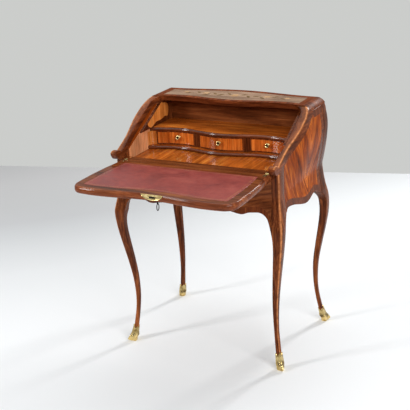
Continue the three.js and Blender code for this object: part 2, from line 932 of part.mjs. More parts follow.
// An end post of the nest; its front turns forward in a hollow curve to meet the side.
const sweepWide = 11; // the hollow curve across
const sweepX = sideInner - sweepWide;
const sweepReach = 26;
const sweepPieces = 5;
function nestEnd(sign) {
  const flat = [nestEndX, sweepX].map((x) => [sign * x, nestFront(drawerFaceY, x)]);
  const [, startY] = flat[1];
  const hollow = steps(0, Math.PI / 2, sweepPieces)
    .slice(1)
    .map((a) => [
      sign * (sweepX + (insideHalf - sweepX) * Math.sin(a)),
      startY - sweepReach * (1 - Math.cos(a)),
    ]);
  const outline = [...flat, ...hollow, [sign * insideHalf, nestBack], [sign * nestEndX, nestBack]];
  return board(outline, baseTop + gap, shelfUnder - gap);
}
for (const [side, sign] of [
  ["left", -1],
  ["right", 1],
]) {
  const span = (a, b) => [Math.min(sign * a, sign * b), Math.max(sign * a, sign * b)];
  place(carcass, `nest_end_${side}`, nestEnd(sign), "tulipwood");
  const divider = upright(...span(dividerX, dividerX + dividerThick), uprightPieces);
  place(carcass, `nest_divider_${side}`, divider, "kingwood");
  // Lining of the niche, its front edge along the slope.
  const lowFront = slopeDepthAt(shelfTop + gap, ledge - gap);
  const highFront = slopeDepthAt(topUnder - gap, ledge - gap);
  const profile = [
    [lowFront, shelfTop + gap],
    [nestBack, shelfTop + gap],
    [nestBack, topUnder - gap],
    [highFront, topUnder - gap],
  ];
  const [x0, x1] = span(insideHalf - cheekThick, insideHalf);
  const cheek = loft(
    [x0, x1].map((x) => profile.map(([y, z]) => [x, y, z])),
    [1, 2],
  );
  place(carcass, `niche_cheek_${side}`, cheek, "tulipwood");
}
const nestBackBoard = block(
  -insideHalf,
  insideHalf,
  nestBack + gap,
  nestBack + gap + nestBackThick,
  bedHeight + gap,
  topUnder - gap,
);
place(carcass, "nest_back", nestBackBoard, "kingwood");

// Drawers: front, box and knob on one slide each

const drawerBottom = baseTop + gap;
const drawerTop = shelfUnder - slide;
const knobReach = 14;
const knobAcrossShare = 0.442; // of the outer drawers' knobs, from the fronts' inner ends
const knobUpShare = 0.58; // height of the knobs on the fronts
// Profile of a knob: [distance from the face share, radius share].
const knobRadius = 9.5;
const knobShares = [
  [0, 0.62],
  [0.12, 0.66],
  [0.2, 0.36],
  [0.42, 0.32],
  [0.56, 0.8],
  [0.72, 1],
  [0.88, 0.86],
  [0.97, 0.5],
];
const knobSides = 14;

function knob(x, faceY, z) {
  const profile = [
    new THREE.Vector2(0, 0),
    ...knobShares.map(([out, wide]) => new THREE.Vector2(wide * knobRadius, out * knobReach)),
    new THREE.Vector2(0, knobReach),
  ];
  const turned = new THREE.LatheGeometry(profile, knobSides);
  turned.rotateX(Math.PI);
  const solid = geometryOf(solidOf(turned));
  return solid.translate(x, faceY - gap, z);
}

const drawerEndX = nestEndX - slide;
const drawers = [
  ["left", -drawerEndX, -outerDrawerX],
  ["centre", -centreDrawerHalf, centreDrawerHalf],
  ["right", outerDrawerX, drawerEndX],
];
const frontPieces = 8;
for (const [side, x0, x1] of drawers) {
  const drawer = new THREE.Group();
  carcass.add(drawer);
  const face = steps(x0, x1, frontPieces).map((x) => [x, nestFront(drawerFaceY, x)]);
  const rearY = Math.max(...face.map(([, y]) => y)) + drawerFrontThick;
  const front = board([...face, [x1, rearY], [x0, rearY]], drawerBottom, drawerTop);
  place(drawer, `drawer_${side}_front`, front, "tulipwood");
  const boxFront = rearY + gap;
  const boxBack = boxFront + drawerDepth - drawerFrontThick;
  const boxTop = drawerTop - drawerWall;
  const box = cut(
    block(x0, x1, boxFront, boxBack, drawerBottom, boxTop),
    block(
      x0 + drawerWall,
      x1 - drawerWall,
      boxFront + drawerWall,
      boxBack - drawerWall,
      drawerBottom + drawerFloor,
      boxTop + overrun,
    ),
  );
  place(drawer, `drawer_${side}_box`, box, "oak");
  const outwards = Math.sign(x0 + x1);
  const middle = outwards * lerp(outerDrawerX, drawerEndX, knobAcrossShare);
  const knobHeight = drawerBottom + knobUpShare * (drawerTop - drawerBottom);
  // The foot of a knob stands on the face where the face comes furthest forward.
  const near = [-1, 0, 1].map((k) => fromTable(face, middle + k * knobRadius));
  place(drawer, `knob_${side}`, knob(middle, Math.min(...near), knobHeight), "gilt");
}

// Fall front, open: outline from the hinge line to the free edge

const fallUnder = hingeHeight - fallThick;
const fallSideSteps = 8;
const fallFrontSteps = 11; // from a corner to the middle

// Right half of the outline drawn in by an inset, from the hinge line to the middle.
function fallHalfOutline(inset) {
  const corner = cornerArc(inset);
  const [, cornerS] = corner[0];
  const side = steps(gap, cornerS, fallSideSteps).map((s) => [fallHalfAt(s) - inset, s]);
  const front = steps(cornerX, 0, fallFrontSteps).map((x) => [x, fallLength(x) - inset]);
  return [...side.slice(0, -1), ...corner, ...front.slice(1)];
}

function fallOutline(inset) {
  const right = fallHalfOutline(inset);
  const left = right
    .slice(0, -1)
    .toReversed()
    .map(([x, s]) => [-x, s]);
  return [...right, ...left].map(([x, s]) => [x, -frontDepth - s]);
}

const lipInset = lipWidth + gap;
const lockHeight = 14;
const lockHalf = 34;
const lockDepth = 44;
const lockRoom = 0.4;
const plateThick = 1.6;
const plateHalf = 41;
const plateTall = 20;
const frontEdgeY = -frontDepth - fallMiddle;
const lockMiddleZ = hingeHeight - boltDepth;
const caseFrontY = frontEdgeY + lipInset + gap;
const caseBackY = caseFrontY + lockDepth;
const keyShare = 0.6; // of the case's depth, where the key goes in
const keyY = caseFrontY + keyShare * lockDepth;
const keyHole = 2.9; // radius of the round keyhole
const keyShank = 2.4;

const lockPocket = block(
  lockX - lockHalf - lockRoom,
  lockX + lockHalf + lockRoom,
  frontEdgeY - overrun,
  caseBackY + lockRoom,
  lockMiddleZ - lockHeight / 2 - lockRoom,
  lockMiddleZ + lockHeight / 2 + lockRoom,
);

// The leather's shape, drawn in by an inset: the fall's outline, straight at the back.
function leatherSolid(inset, low, high) {
  const backY = -frontDepth - leatherBack - inset;
  const behind = block(-fallHalf, fallHalf, backY, 0, low - overrun, high + overrun);
  return cut(board(fallOutline(leatherMargin + inset), low, high), behind);
}
const leatherPocket = leatherSolid(0, hingeHeight - leatherRecess, hingeHeight + overrun);
const keyBore = bar(
  "z",
  keyHole,
  fallUnder - overrun,
  lockMiddleZ,
  [lockX, keyY, 0],
  knuckleSides,
);
let core = board(fallOutline(lipInset), fallUnder, hingeHeight);
core = cut(core, leatherPocket, lockPocket, keyBore);
for (const x of [-hingeX, hingeX]) {
  core = cut(core, hingeRecess(x, -1), knuckleRecess(x));
}
place(fall, "fall_board", core, "kingwood");

const leatherRoom = (leatherRecess - leatherThick) / 2;
const leatherLow = hingeHeight - leatherRecess + leatherRoom;
const leather = leatherSolid(gap, leatherLow, hingeHeight - leatherRoom);
place(fall, "writing_leather", leather, "leather");

// Moulded lip: a strip of rounded section round the three free edges, [out share, up share].
const lipShares = [
  [0, 0],
  [0.55, 0.03],
  [0.85, 0.16],
  [1, 0.42],
  [0.97, 0.68],
  [0.7, 0.92],
  [0.35, 1],
  [0, 1],
];
function fallLip() {
  const inner = fallOutline(lipWidth);
  const outer = fallOutline(0);
  const rings = inner.map((from, k) =>
    lipShares.map(([out, up]) => [
      lerp(from[0], outer[k][0], out),
      lerp(from[1], outer[k][1], out),
      fallUnder + fallThick * up,
    ]),
  );
  return loft(rings, [0, 2]);
}
const plateFaceY = frontEdgeY + plateThick / 2;

// Half-round plate, flat edge up, between two depths and grown all round.
const plateSteps = 16;
function plateSolid(nearY, farY, grow) {
  const half = plateHalf + grow;
  const top = lockMiddleZ + plateTall / 2 + grow;
  const arc = steps(Math.PI, 2 * Math.PI, plateSteps).map((a) => [
    lockX + half * Math.cos(a),
    top + (plateTall + 2 * grow) * Math.sin(a),
  ]);
  return loft(
    [nearY, farY].map((y) => arc.map(([x, z]) => [x, y, z])),
    [0, 2],
  );
}
const plateBackY = plateFaceY + plateThick;
const platePocket = plateSolid(frontEdgeY - overrun - fallWave, plateBackY + gap, lockRoom);
const boltSlot = block(
  lockX - boltWide / 2 - boltRoom,
  lockX + boltWide / 2 + boltRoom,
  frontEdgeY - overrun,
  caseFrontY + overrun,
  lockMiddleZ - boltThick / 2 - boltRoom,
  lockMiddleZ + boltThick / 2 + boltRoom,
);
place(fall, "fall_moulding", cut(fallLip(), platePocket, boltSlot), "kingwood");

// Lock: plate, case, bolt, key and escutcheon

place(fall, "lock_plate", cut(plateSolid(plateFaceY, plateBackY, 0), boltSlot), "gilt");

const boltLength = 32;
const boltFrontY = plateFaceY + gap;
const bitRadius = 9;
const boltChannel = block(
  lockX - boltWide / 2 - boltRoom / 2,
  lockX + boltWide / 2 + boltRoom / 2,
  caseFrontY - overrun,
  boltFrontY + boltLength + boltRoom,
  lockMiddleZ - boltThick / 2 - boltRoom / 2,
  lockMiddleZ + boltThick / 2 + boltRoom / 2,
);
const bitRoom = bar(
  "z",
  bitRadius + boltRoom,
  lockMiddleZ - lockHeight / 2 - overrun,
  lockMiddleZ - boltThick / 2,
  [lockX, keyY, 0],
  knuckleSides * 2,
);
const lockBody = block(
  lockX - lockHalf,
  lockX + lockHalf,
  caseFrontY,
  caseBackY,
  lockMiddleZ - lockHeight / 2,
  lockMiddleZ + lockHeight / 2,
);
place(fall, "lock_case", cut(lockBody, boltChannel, bitRoom), "steel");

const bolt = block(
  lockX - boltWide / 2,
  lockX + boltWide / 2,
  boltFrontY,
  boltFrontY + boltLength,
  lockMiddleZ - boltThick / 2,
  lockMiddleZ + boltThick / 2,
);
place(fall, "lock_bolt", bolt, "steel");

const escutcheonHalf = 9;
const escutcheonTall = 14;
const escutcheonThick = 1.5;
const escutcheonSteps = 20;
function keyEscutcheon() {
  const rim = steps(0, 2 * Math.PI, escutcheonSteps)
    .slice(1)
    .map((a) => [lockX + escutcheonHalf * Math.cos(a), keyY + escutcheonTall * Math.sin(a)]);
  return cut(board(rim, fallUnder - gap - escutcheonThick, fallUnder - gap), keyBore);
}
place(fall, "key_escutcheon", keyEscutcheon(), "gilt");

const keyDrop = 19; // underside of the fall to the bow
const bowHalf = 9;
const bowTall = 13; // half its height
const bowThick = 3.2;
const bowRim = 3.4;
const bitThick = 2;
const bitTall = 3.5;
const bowSteps = 20;

// An oval plate square to X, drawn in all round.
function oval(inset, thick, middleZ) {
  const rim = steps(0, 2 * Math.PI, bowSteps)
    .slice(1)
    .map((a) => [
      keyY + (bowHalf - inset) * Math.cos(a),
      middleZ + (bowTall - inset) * Math.sin(a),
    ]);
  return loft(
    [lockX - thick / 2, lockX + thick / 2].map((x) => rim.map(([y, z]) => [x, y, z])),
    [1, 2],
  );
}

function keySolid() {
  const tip = lockMiddleZ - boltThick / 2 - boltRoom;
  const bowTop = fallUnder - keyDrop;
  const bowMiddle = bowTop - bowTall;
  const shank = bar("z", keyShank, bowTop - bowRim / 2, tip, [lockX, keyY, 0], knuckleSides);
  const bow = cut(oval(0, bowThick, bowMiddle), oval(bowRim, 2 * bowThick, bowMiddle));
  const bit = block(
    lockX - bitThick / 2,
    lockX + bitThick / 2,
    keyY,
    keyY + bitRadius - boltRoom,
    tip - bitTall,
    tip,
  );
  return join(bow, shank, bit);
}
place(fall, "key", keySolid(), "steel");

// Hinge pieces

function leaf(x, direction, knuckles) {
  const near = knuckleRadius + knuckleRoom;
  const neckEnd = direction * (near + overrun);
  const ends = [direction * near, direction * leafLong].sort((a, b) => a - b);
  const plate = block(
    x - leafHalf,
    x + leafHalf,
    -frontDepth + ends[0],
    -frontDepth + ends[1],
    hingeHeight - leafThick,
    hingeHeight,
  );
  const centre = [0, -frontDepth, hingeHeight];
  const bodies = knuckles.map(([from, to]) => {
    const round = bar("x", knuckleRadius, x + from, x + to, centre, knuckleSides);
    const neck = block(
      x + from,
      x + to,
      -frontDepth + Math.min(neckEnd, 0),
      -frontDepth + Math.max(neckEnd, 0),
      hingeHeight - leafThick,
      hingeHeight,
    );
    return [round, neck];
  });
  const bore = bar("x", pinRadius + pinRoom, x - hingeWide, x + hingeWide, centre, knuckleSides);
  return cut(join(plate, ...bodies.flat()), bore);
}
const innerKnuckle = leafHalf - fixedKnuckle - gap;
for (const [side, sign] of [
  ["left", -1],
  ["right", 1],
]) {
  const x = sign * hingeX;
  const outerKnuckles = [
    [-leafHalf, fixedKnuckle - leafHalf],
    [leafHalf - fixedKnuckle, leafHalf],
  ];
  place(carcass, `hinge_leaf_fixed_${side}`, leaf(x, 1, outerKnuckles), "gilt");
  place(fall, `hinge_leaf_fall_${side}`, leaf(x, -1, [[-innerKnuckle, innerKnuckle]]), "gilt");
  const centre = [0, -frontDepth, hingeHeight];
  const pin = bar("x", pinRadius, x - leafHalf, x + leafHalf, centre, knuckleSides);
  place(carcass, `hinge_pin_${side}`, pin, "gilt");
}

// Origin on the floor, at the middle of the footprint
const extent = new THREE.Box3().setFromObject(desk);
desk.position.y = -(extent.min.y + extent.max.y) / 2;

export default desk;
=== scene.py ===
"""Looks of the slant-front writing desk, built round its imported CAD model.

Lengths are millimetres while a piece is made, with y = 0 midway between the front and back
feet, and metres in the row frame once it is a mesh.
"""

from math import atan2, cos, exp, hypot, pi, radians, sin, sqrt

import bmesh
import bpy
from mathutils import Matrix, Vector


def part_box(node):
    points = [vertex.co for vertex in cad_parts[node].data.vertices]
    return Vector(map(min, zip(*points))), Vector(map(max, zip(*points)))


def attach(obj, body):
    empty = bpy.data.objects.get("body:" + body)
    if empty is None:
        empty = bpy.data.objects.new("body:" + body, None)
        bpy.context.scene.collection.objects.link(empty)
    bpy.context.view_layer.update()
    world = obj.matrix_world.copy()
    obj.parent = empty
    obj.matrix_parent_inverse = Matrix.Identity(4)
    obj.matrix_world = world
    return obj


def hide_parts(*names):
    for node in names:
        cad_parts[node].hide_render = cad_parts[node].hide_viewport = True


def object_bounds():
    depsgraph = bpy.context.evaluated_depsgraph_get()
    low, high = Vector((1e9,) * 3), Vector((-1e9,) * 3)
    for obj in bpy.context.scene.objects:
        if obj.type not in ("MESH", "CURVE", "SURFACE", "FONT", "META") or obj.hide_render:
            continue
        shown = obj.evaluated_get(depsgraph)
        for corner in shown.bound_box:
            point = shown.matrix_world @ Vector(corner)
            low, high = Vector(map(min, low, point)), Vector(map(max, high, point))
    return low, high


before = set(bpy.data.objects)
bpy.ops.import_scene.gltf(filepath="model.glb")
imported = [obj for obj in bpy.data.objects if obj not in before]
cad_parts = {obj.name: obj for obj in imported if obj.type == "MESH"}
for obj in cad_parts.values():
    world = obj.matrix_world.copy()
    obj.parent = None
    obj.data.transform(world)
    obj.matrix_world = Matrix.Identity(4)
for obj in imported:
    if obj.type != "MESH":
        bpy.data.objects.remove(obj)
cad_low, cad_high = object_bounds()

MM = 0.001
GAP = 0.3

# Sizes read from the frame
pin_low, pin_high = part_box("hinge_pin_left")
HINGE_HEIGHT = (pin_low.z + pin_high.z) / 2 / MM
TOP_HEIGHT = cad_high.z / MM

# Sizes of the carcass
FRONT_DEPTH = 219
BACK_DEPTH = 205
TOP_BACK_DEPTH = 196
TOP_DEPTH = 130
FOOT_Y = 216
WAIST_HALF = 322
TOP_HALF = 303
SIDE_BULGE = 23
BACK_BULGE = 6
BACK_BOW = 30
SHOULDER_DROP = 45
WAIST_HEIGHT = HINGE_HEIGHT - 81
KNEE_HEIGHT = WAIST_HEIGHT - 125
POST_HEIGHT = WAIST_HEIGHT - 73
APRON_HEIGHT = WAIST_HEIGHT - 57
SIDE_FLARE = 16
END_FLARE = 22
SHIFT = (pin_low.y + pin_high.y) / 2 / MM + FRONT_DEPTH

# Sizes of the fall
FALL_THICK = 24
FALL_WAVE = 18
FALL_WAVE_PITCH = 410
FALL_HALF = 307
FALL_TAPER = 11
FALL_CORNER = 40
FALL_GAP = 1.2
LIP_WIDTH = 9

# Numbers and tables


def lerp(a, b, share):
    return a + (b - a) * share


def clamp(x, low=0.0, high=1.0):
    return max(low, min(high, x))


def smoothstep(x, low, high):
    t = clamp((x - low) / (high - low))
    return t * t * (3 - 2 * t)


def steps(start, end, count):
    return [lerp(start, end, k / count) for k in range(count + 1)]


def from_table(rows, at):
    if at <= rows[0][0]:
        return rows[0][1]
    for (a, start), (b, end) in zip(rows, rows[1:]):
        if at <= b:
            return lerp(start, end, (at - a) / (b - a))
    return rows[-1][1]


def between(p0, p1, p2, p3, t):
    """A point of the Catmull-Rom curve from p1, at t = 0, to p2, at t = 1."""
    point = []
    for a, b, c, d in zip(p0, p1, p2, p3):
        v0, v1 = (c - a) / 2, (d - b) / 2
        cubic = (2 * (b - c) + v0 + v1) * t**3
        square = (3 * (c - b) - 2 * v0 - v1) * t**2
        point.append(cubic + square + v0 * t + b)
    return point


SPAN = steps(0, 1, 8)[:-1]


def smooth_table(rows):
    """A reading of a table along a smooth curve through its rows."""
    ends = [rows[0], *rows, rows[-1]]
    spans = range(len(rows) - 1)
    fine = [between(*ends[k : k + 4], t) for k in spans for t in SPAN]
    fine.append(rows[-1])
    return lambda at: from_table(fine, at)


def readings(rows):
    """A smooth reading of each column of a table over its first one."""
    first, *others = zip(*rows)
    return [smooth_table(list(zip(first, column))) for column in others]


def level(outline, z):
    return [(x, y, z) for x, y in outline]


def circle(count):
    """Angles evenly spaced once round."""
    return steps(0, 2 * pi, count)[1:]


QUARTER = steps(0, pi / 2, 16)


def box_of(node):
    """A CAD node's lowest and highest corners, in the millimetres that pieces are made in."""
    return [Vector((v.x / MM, v.y / MM - SHIFT, v.z / MM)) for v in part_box(node)]


SIDES = (("left", -1), ("right", 1))

# The slope that the closed fall lies on

SLOPE_RISE = TOP_HEIGHT - HINGE_HEIGHT
SLOPE_RUN = FRONT_DEPTH + TOP_BACK_DEPTH - TOP_DEPTH
FALL_LONGEST = sqrt(SLOPE_RISE**2 + SLOPE_RUN**2 - FALL_THICK**2)
FALL_MIDDLE = FALL_LONGEST - FALL_WAVE
SLOPE = atan2(SLOPE_RISE, SLOPE_RUN) - atan2(FALL_THICK, FALL_LONGEST)
COS, SIN = cos(SLOPE), sin(SLOPE)
TOP_UNDER = HINGE_HEIGHT + FALL_LONGEST * SIN


def on_slope(s, n):
    """Point s up the slope from the hinge line and n out from it, as (y, z)."""
    return -FRONT_DEPTH + s * COS - n * SIN, HINGE_HEIGHT + s * SIN + n * COS


def slope_height(y, n):
    return HINGE_HEIGHT + ((y + FRONT_DEPTH) * SIN + n) / COS


def slope_depth(z, n):
    return -FRONT_DEPTH + ((z - HINGE_HEIGHT) * COS - n) / SIN


def wave(x, pitch):
    return (1 - cos(2 * pi * x / pitch)) / 2


def fall_length(x):
    return FALL_MIDDLE + FALL_WAVE * wave(clamp(x, -FALL_HALF, FALL_HALF), FALL_WAVE_PITCH)


FALL_WIDTHS = [(0, 0), (0.15, 0.12), (0.35, 0.7), (0.6, 1), (1, 0.82)]


def fall_half_at(s):
    return FALL_HALF - FALL_TAPER * (1 - from_table(FALL_WIDTHS, s / FALL_MIDDLE))


# The fall's corners: as (x, s) points from a side round to the front edge

FALL_END_HALF = fall_half_at(FALL_MIDDLE)
CORNER_X = FALL_END_HALF - FALL_CORNER
CORNER_STEPS = 14


def corner_start(inset):
    """Where the front edge ends and its corner starts, for the outline drawn in by an inset."""
    return min(CORNER_X, FALL_END_HALF - inset)


def corner_arc(inset=0.0):
    radius = max(FALL_CORNER - inset, 0)
    arc = []
    for a in steps(0, pi / 2, CORNER_STEPS):
        x = corner_start(inset) + radius * cos(a)
        arc.append((x, fall_length(x) - inset - radius * (1 - sin(a))))
    return arc


FALL_ARC = corner_arc()


def fall_edge_at(s):
    """Half the fall's width at s up from the hinge line, its rounded corners counted."""
    if s < FALL_ARC[0][1]:
        return fall_half_at(s)
    return from_table([(at, x) for x, at in FALL_ARC], s)


# The carcass surfaces

SWELL = smooth_table(
    [(0, 0.05), (0.2, 0.42), (0.42, 0.76), (0.62, 0.96), (0.78, 1), (0.92, 0.86), (1, 0.7)]
)
SHOULDER_HEIGHT = TOP_HEIGHT - SHOULDER_DROP
SWELL_START = 49 - FRONT_DEPTH
SWELL_FULL = BACK_DEPTH - 195
FLARE_SHAPE = 1.3


def swell(z):
    return SWELL((z - WAIST_HEIGHT) / (SHOULDER_HEIGHT - WAIST_HEIGHT))


def flare(z):
    return clamp((WAIST_HEIGHT - z) / (WAIST_HEIGHT - KNEE_HEIGHT)) ** FLARE_SHAPE


def shoulder(z):
    up = clamp((z - SHOULDER_HEIGHT) / SHOULDER_DROP)
    return sqrt(1 - up * up)


def side_out(y, z):
    x = WAIST_HALF + SIDE_BULGE * swell(z) * smoothstep(y, SWELL_START, SWELL_FULL)
    x += SIDE_FLARE * flare(z)
    return TOP_HALF + (x - TOP_HALF) * shoulder(z)


def back_corner_out(z):
    y = BACK_DEPTH + BACK_BULGE * swell(z) + END_FLARE * flare(z)
    return TOP_BACK_DEPTH + (y - TOP_BACK_DEPTH) * shoulder(z)


def back_out(x, z):
    inside = clamp(x / TOP_HALF, -1, 1)
    return back_corner_out(z) + BACK_BOW * (1 + cos(pi * inside)) / 2


def front_out(z):
    return FRONT_DEPTH + END_FLARE * flare(z)


# Meshes


def border(rows):
    """The points round the edge of a grid."""
    there, back = [row[-1] for row in rows[1:]], [row[0] for row in rows[-2:0:-1]]
    return rows[0] + there + rows[-1][-2::-1] + back


class Shape:
    """The faces of one piece, each with its points, its material's number and a place in the
    veneer for each point: along the grain and across it."""

    def __init__(self):
        self.points, self.faces, self.kinds, self.places = [], [], [], []

    def face(self, corners, kind=0, places=None):
        first = len(self.points)
        self.points.extend(corners)
        self.faces.append(tuple(range(first, first + len(corners))))
        self.kinds.append(kind)
        self.places.extend(places or [(0, 0)] * len(corners))

    def grid(self, rows, closed=False, kind=None, place=None, rub=None):
        """A surface through rows of points. kind(i, j) gives a cell's material, and
        place(kind, point) a point's place in the veneer. The rub list gives how worn each column
        is, which lightens the wood as wear and as a painted highlight."""
        across = len(rows[0])
        for i in range(len(rows) - 1):
            for j in range(across if closed else across - 1):
                k = (j + 1) % across
                corners = [rows[i][j], rows[i][k], rows[i + 1][k], rows[i + 1][j]]
                number = kind(i, j) if kind else 0
                places = [place(number, p) for p in corners] if place else None
                if rub:
                    places = [(rub[c] / MM, 0) for c in (j, k, k, j)]
                self.face(corners, number, places)
        return self

    def loft(self, rings, **more):
        self.grid(rings, closed=True, **more)
        self.face(rings[0][::-1])
        self.face(rings[-1])
        return self

    def panel(self, outer, inner, lining=0, **more):
        """A closed panel between two skins of equal rows. lining is its inner skin's material."""
        self.grid(outer, **more)
        self.grid([row[::-1] for row in inner], kind=lambda i, j: lining, place=more.get("place"))
        return self.grid([border(outer), border(inner)], closed=True)


MERGE = 0.00001
SHARP = radians(38)
SOFT = radians(50)
PANEL_EDGE, DRAWER_EDGE, END_EDGE = 0.8, 0.7, 0.5


def show(name, data):
    """Adds an object to the scene."""
    made = bpy.data.objects.new(name, data)
    bpy.context.scene.collection.objects.link(made)
    return made


def piece(name, shape, materials, stands_for="", body="carcass", bevel=0.0, sharp=SHARP):
    """Makes a shape a mesh that rides on a body, and stands for a CAD node."""
    mesh = bpy.data.meshes.new(name)
    points = [(x * MM, (y + SHIFT) * MM, z * MM) for x, y, z in shape.points]
    mesh.from_pydata(points, [], shape.faces)
    layer = mesh.uv_layers.new(name="veneer")
    for loop in mesh.loops:
        u, v = shape.places[loop.vertex_index]
        layer.data[loop.index].uv = (u * MM, v * MM)
    for skin in materials:
        mesh.materials.append(skin)
    for polygon, kind in zip(mesh.polygons, shape.kinds):
        polygon.material_index = kind
    bm = bmesh.new()
    bm.from_mesh(mesh)
    bmesh.ops.remove_doubles(bm, verts=bm.verts, dist=MERGE)
    bmesh.ops.dissolve_degenerate(bm, edges=bm.edges, dist=MERGE)
    bmesh.ops.recalc_face_normals(bm, faces=bm.faces)
    for edge in bm.edges:
        edge.smooth = edge.calc_face_angle(0) < sharp
    for f in bm.faces:
        f.smooth = True
    bm.to_mesh(mesh)
    bm.free()
    made = show(name, mesh)
    if bevel:
        soften(made, bevel)
    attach(made, body)
    if stands_for:
        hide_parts(stands_for)
    return made


def soften(made, width):
    """Rounds a piece's sharp edges a little, so that they catch the light."""
    bevel = made.modifiers.new("soft edges", "BEVEL")
    bevel.width = width * MM
    bevel.segments = 2
    bevel.limit_method = "ANGLE"
    bevel.angle_limit = SOFT
    bevel.harden_normals = True


# Materials


class Nodes:
    """The node tree of a material or the world, with short ways to add and join its nodes."""

    def __init__(self, owner):
        self.owner = owner
        owner.use_nodes = True
        self.tree = owner.node_tree
        self.tree.nodes.clear()

    def add(self, kind, inputs=None, **settings):
        node = self.tree.nodes.new("ShaderNode" + kind)
        for key, value in settings.items():
            setattr(node, key, value)
        for key, value in (inputs or {}).items():
            if isinstance(value, bpy.types.NodeSocket):
                self.tree.links.new(value, node.inputs[key])
            else:
                node.inputs[key].default_value = value
        return node

    def math(self, operation, a, b=0.0):
        return self.add("Math", {0: a, 1: b}, operation=operation).outputs[0]

    def ramp(self, factor, stops):
        node = self.add("ValToRGB", {"Fac": factor})
        elements = node.color_ramp.elements
        while len(elements) < len(stops):
            elements.new(0.5)
        for element, (at, colour) in zip(elements, stops):
            element.position = at
            element.color = (*colour, 1)
        return node.outputs["Color"]

    def mix(self, factor, a, b, blend="MIX"):
        """Mixes colours: sockets 6 and 7 of the node take them, and 2 gives their mix."""
        a, b = ((*value, 1) if isinstance(value, tuple) else value for value in (a, b))
        inputs = {0: factor, 6: a, 7: b}
        return self.add("Mix", inputs, data_type="RGBA", blend_type=blend).outputs[2]

    def noise(self, vector, scale, detail, roughness, distortion=0.0):
        names = ("Vector", "Scale", "Detail", "Roughness", "Distortion")
        values = (vector, scale, detail, roughness, distortion)
        return self.add("TexNoise", dict(zip(names, values))).outputs["Fac"]

    def stretched(self, vector, scale, turn=(0, 0, 0), shift=(0, 0, 0)):
        inputs = {"Vector": vector, "Scale": scale, "Rotation": turn, "Location": shift}
        return self.add("Mapping", inputs).outputs["Vector"]

    def spread(self, value, low, high, start, end):
        inputs = {"Value": value, "From Min": low, "From Max": high, "To Min": start, "To Max": end}
        return self.add("MapRange", inputs).outputs["Result"]

    def place(self):
        return self.add("TexCoord").outputs["Object"]

    def veneer(self):
        """The place in the veneer that the mesh keeps."""
        return self.add("UVMap", uv_map="veneer").outputs["UV"]

    def part(self, vector, axis):
        return self.add("SeparateXYZ", {0: vector}).outputs[axis]

    def bump(self, height, strength, reach):
        inputs = {"Height": height, "Strength": strength, "Distance": reach}
        return self.add("Bump", inputs).outputs["Normal"]

    def surface(self, **inputs):
        shader = self.add("BsdfPrincipled", {k.replace("_", " "): v for k, v in inputs.items()})
        self.add("OutputMaterial", {"Surface": shader.outputs["BSDF"]})
        return self.owner


def material(name):
    return Nodes(bpy.data.materials.new(name))


GRAIN_TURNS = {"X": (0, 0, 0), "Y": (0, 0, pi / 2), "Z": (0, pi / 2, 0)}

# How many of each mark a metre of wood holds, along the grain and across it
FIGURE_ALONG = 3.5
PATCHES = (5, 14, 14)
STREAKS = (6, 260, 260)
FIBRES = (24, 900, 900)
FIGURE_SPREAD = 0.21
# Colour of rubbed arrises: lighter wood for wear, and also a painted highlight along the edge
RUB_AND_HIGHLIGHT_COLOUR = (0.74, 0.28, 0.1)
WAX = 0.04


def wood(name, tones, grain="", stripe=46, contrast=1, gloss=0.22, coat=0.12, seed=0, curl=0.5):
    """A polished wood. tones are its dark, middle and light colours. grain is the axis of the
    fibres, X, Y or Z, or empty where the mesh says where each point is in the veneer."""
    n = material(name)
    veneer = n.veneer()
    base, turn = (n.place(), GRAIN_TURNS[grain]) if grain else (veneer, (0, 0, 0))
    along = n.stretched(base, (1, 1, 1), turn, (seed, seed, seed))
    figure = n.noise(n.stretched(along, (FIGURE_ALONG, stripe, stripe)), 1.0, 8.0, 0.68, curl)
    streaks = n.noise(n.stretched(along, STREAKS), 1.0, 4.0, 0.6)
    fibres = n.noise(n.stretched(along, FIBRES), 1.0, 3.0, 0.6)
    patches = n.noise(n.stretched(along, PATCHES), 1.0, 3.0, 0.5, 0.8)
    dark, middle, light = tones
    low, high = 0.5 - FIGURE_SPREAD / contrast, 0.5 + FIGURE_SPREAD / contrast
    colour = n.ramp(figure, [(low, dark), (0.5, middle), (high, light)])
    for marks, share, stops in (
        (patches, 1.0, [(0.32, (0.66, 0.62, 0.58)), (0.68, (1.16, 1.14, 1.1))]),
        (streaks, 0.8, [(0.36, (0.6, 0.54, 0.48)), (0.56, (1.08, 1.06, 1.04))]),
        (fibres, 0.6, [(0.36, (0.6, 0.56, 0.52)), (0.5, (1, 1, 1))]),
    ):
        colour = n.mix(share, colour, n.ramp(marks, stops), "MULTIPLY")
    wear = n.noise(base, 9.0, 5.0, 0.6)
    # Lightens the wood where the mesh says an arris is rubbed: wear, and a painted highlight
    if grain:
        uneven = n.spread(n.noise(base, 55.0, 5.0, 0.65), 0.36, 0.6, 0.3, 1.0)
        colour = n.mix(n.math("MULTIPLY", n.part(veneer, "X"), uneven), colour, RUB_AND_HIGHLIGHT_COLOUR)
    rough = n.spread(wear, 0.3, 0.7, gloss * 0.8, gloss * 1.4)
    return n.surface(
        Base_Color=colour,
        Roughness=rough,
        Normal=n.bump(fibres, 0.05, 0.0002),
        Specular_IOR_Level=WAX,
        Coat_Weight=coat,
        Coat_Roughness=0.1,
        Coat_IOR=1.5,
    )


PATINA = 56.0


def metal(name, tones, rough):
    """A worn metal: bright where it is rubbed, darker in its patina."""
    n = material(name)
    base = n.place()
    cloud = n.noise(base, PATINA, 6.0, 0.65)
    dark, light = tones
    colour = n.ramp(cloud, [(0.34, dark), (0.62, light)])
    roughness = n.spread(cloud, 0.3, 0.7, rough * 1.5, rough * 0.7)
    scratches = n.noise(n.stretched(base, (900, 900, 160)), 1.0, 2.0, 0.5)
    bump = n.bump(scratches, 0.08, 0.0002)
    return n.surface(Base_Color=colour, Metallic=1.0, Roughness=roughness, Normal=bump)


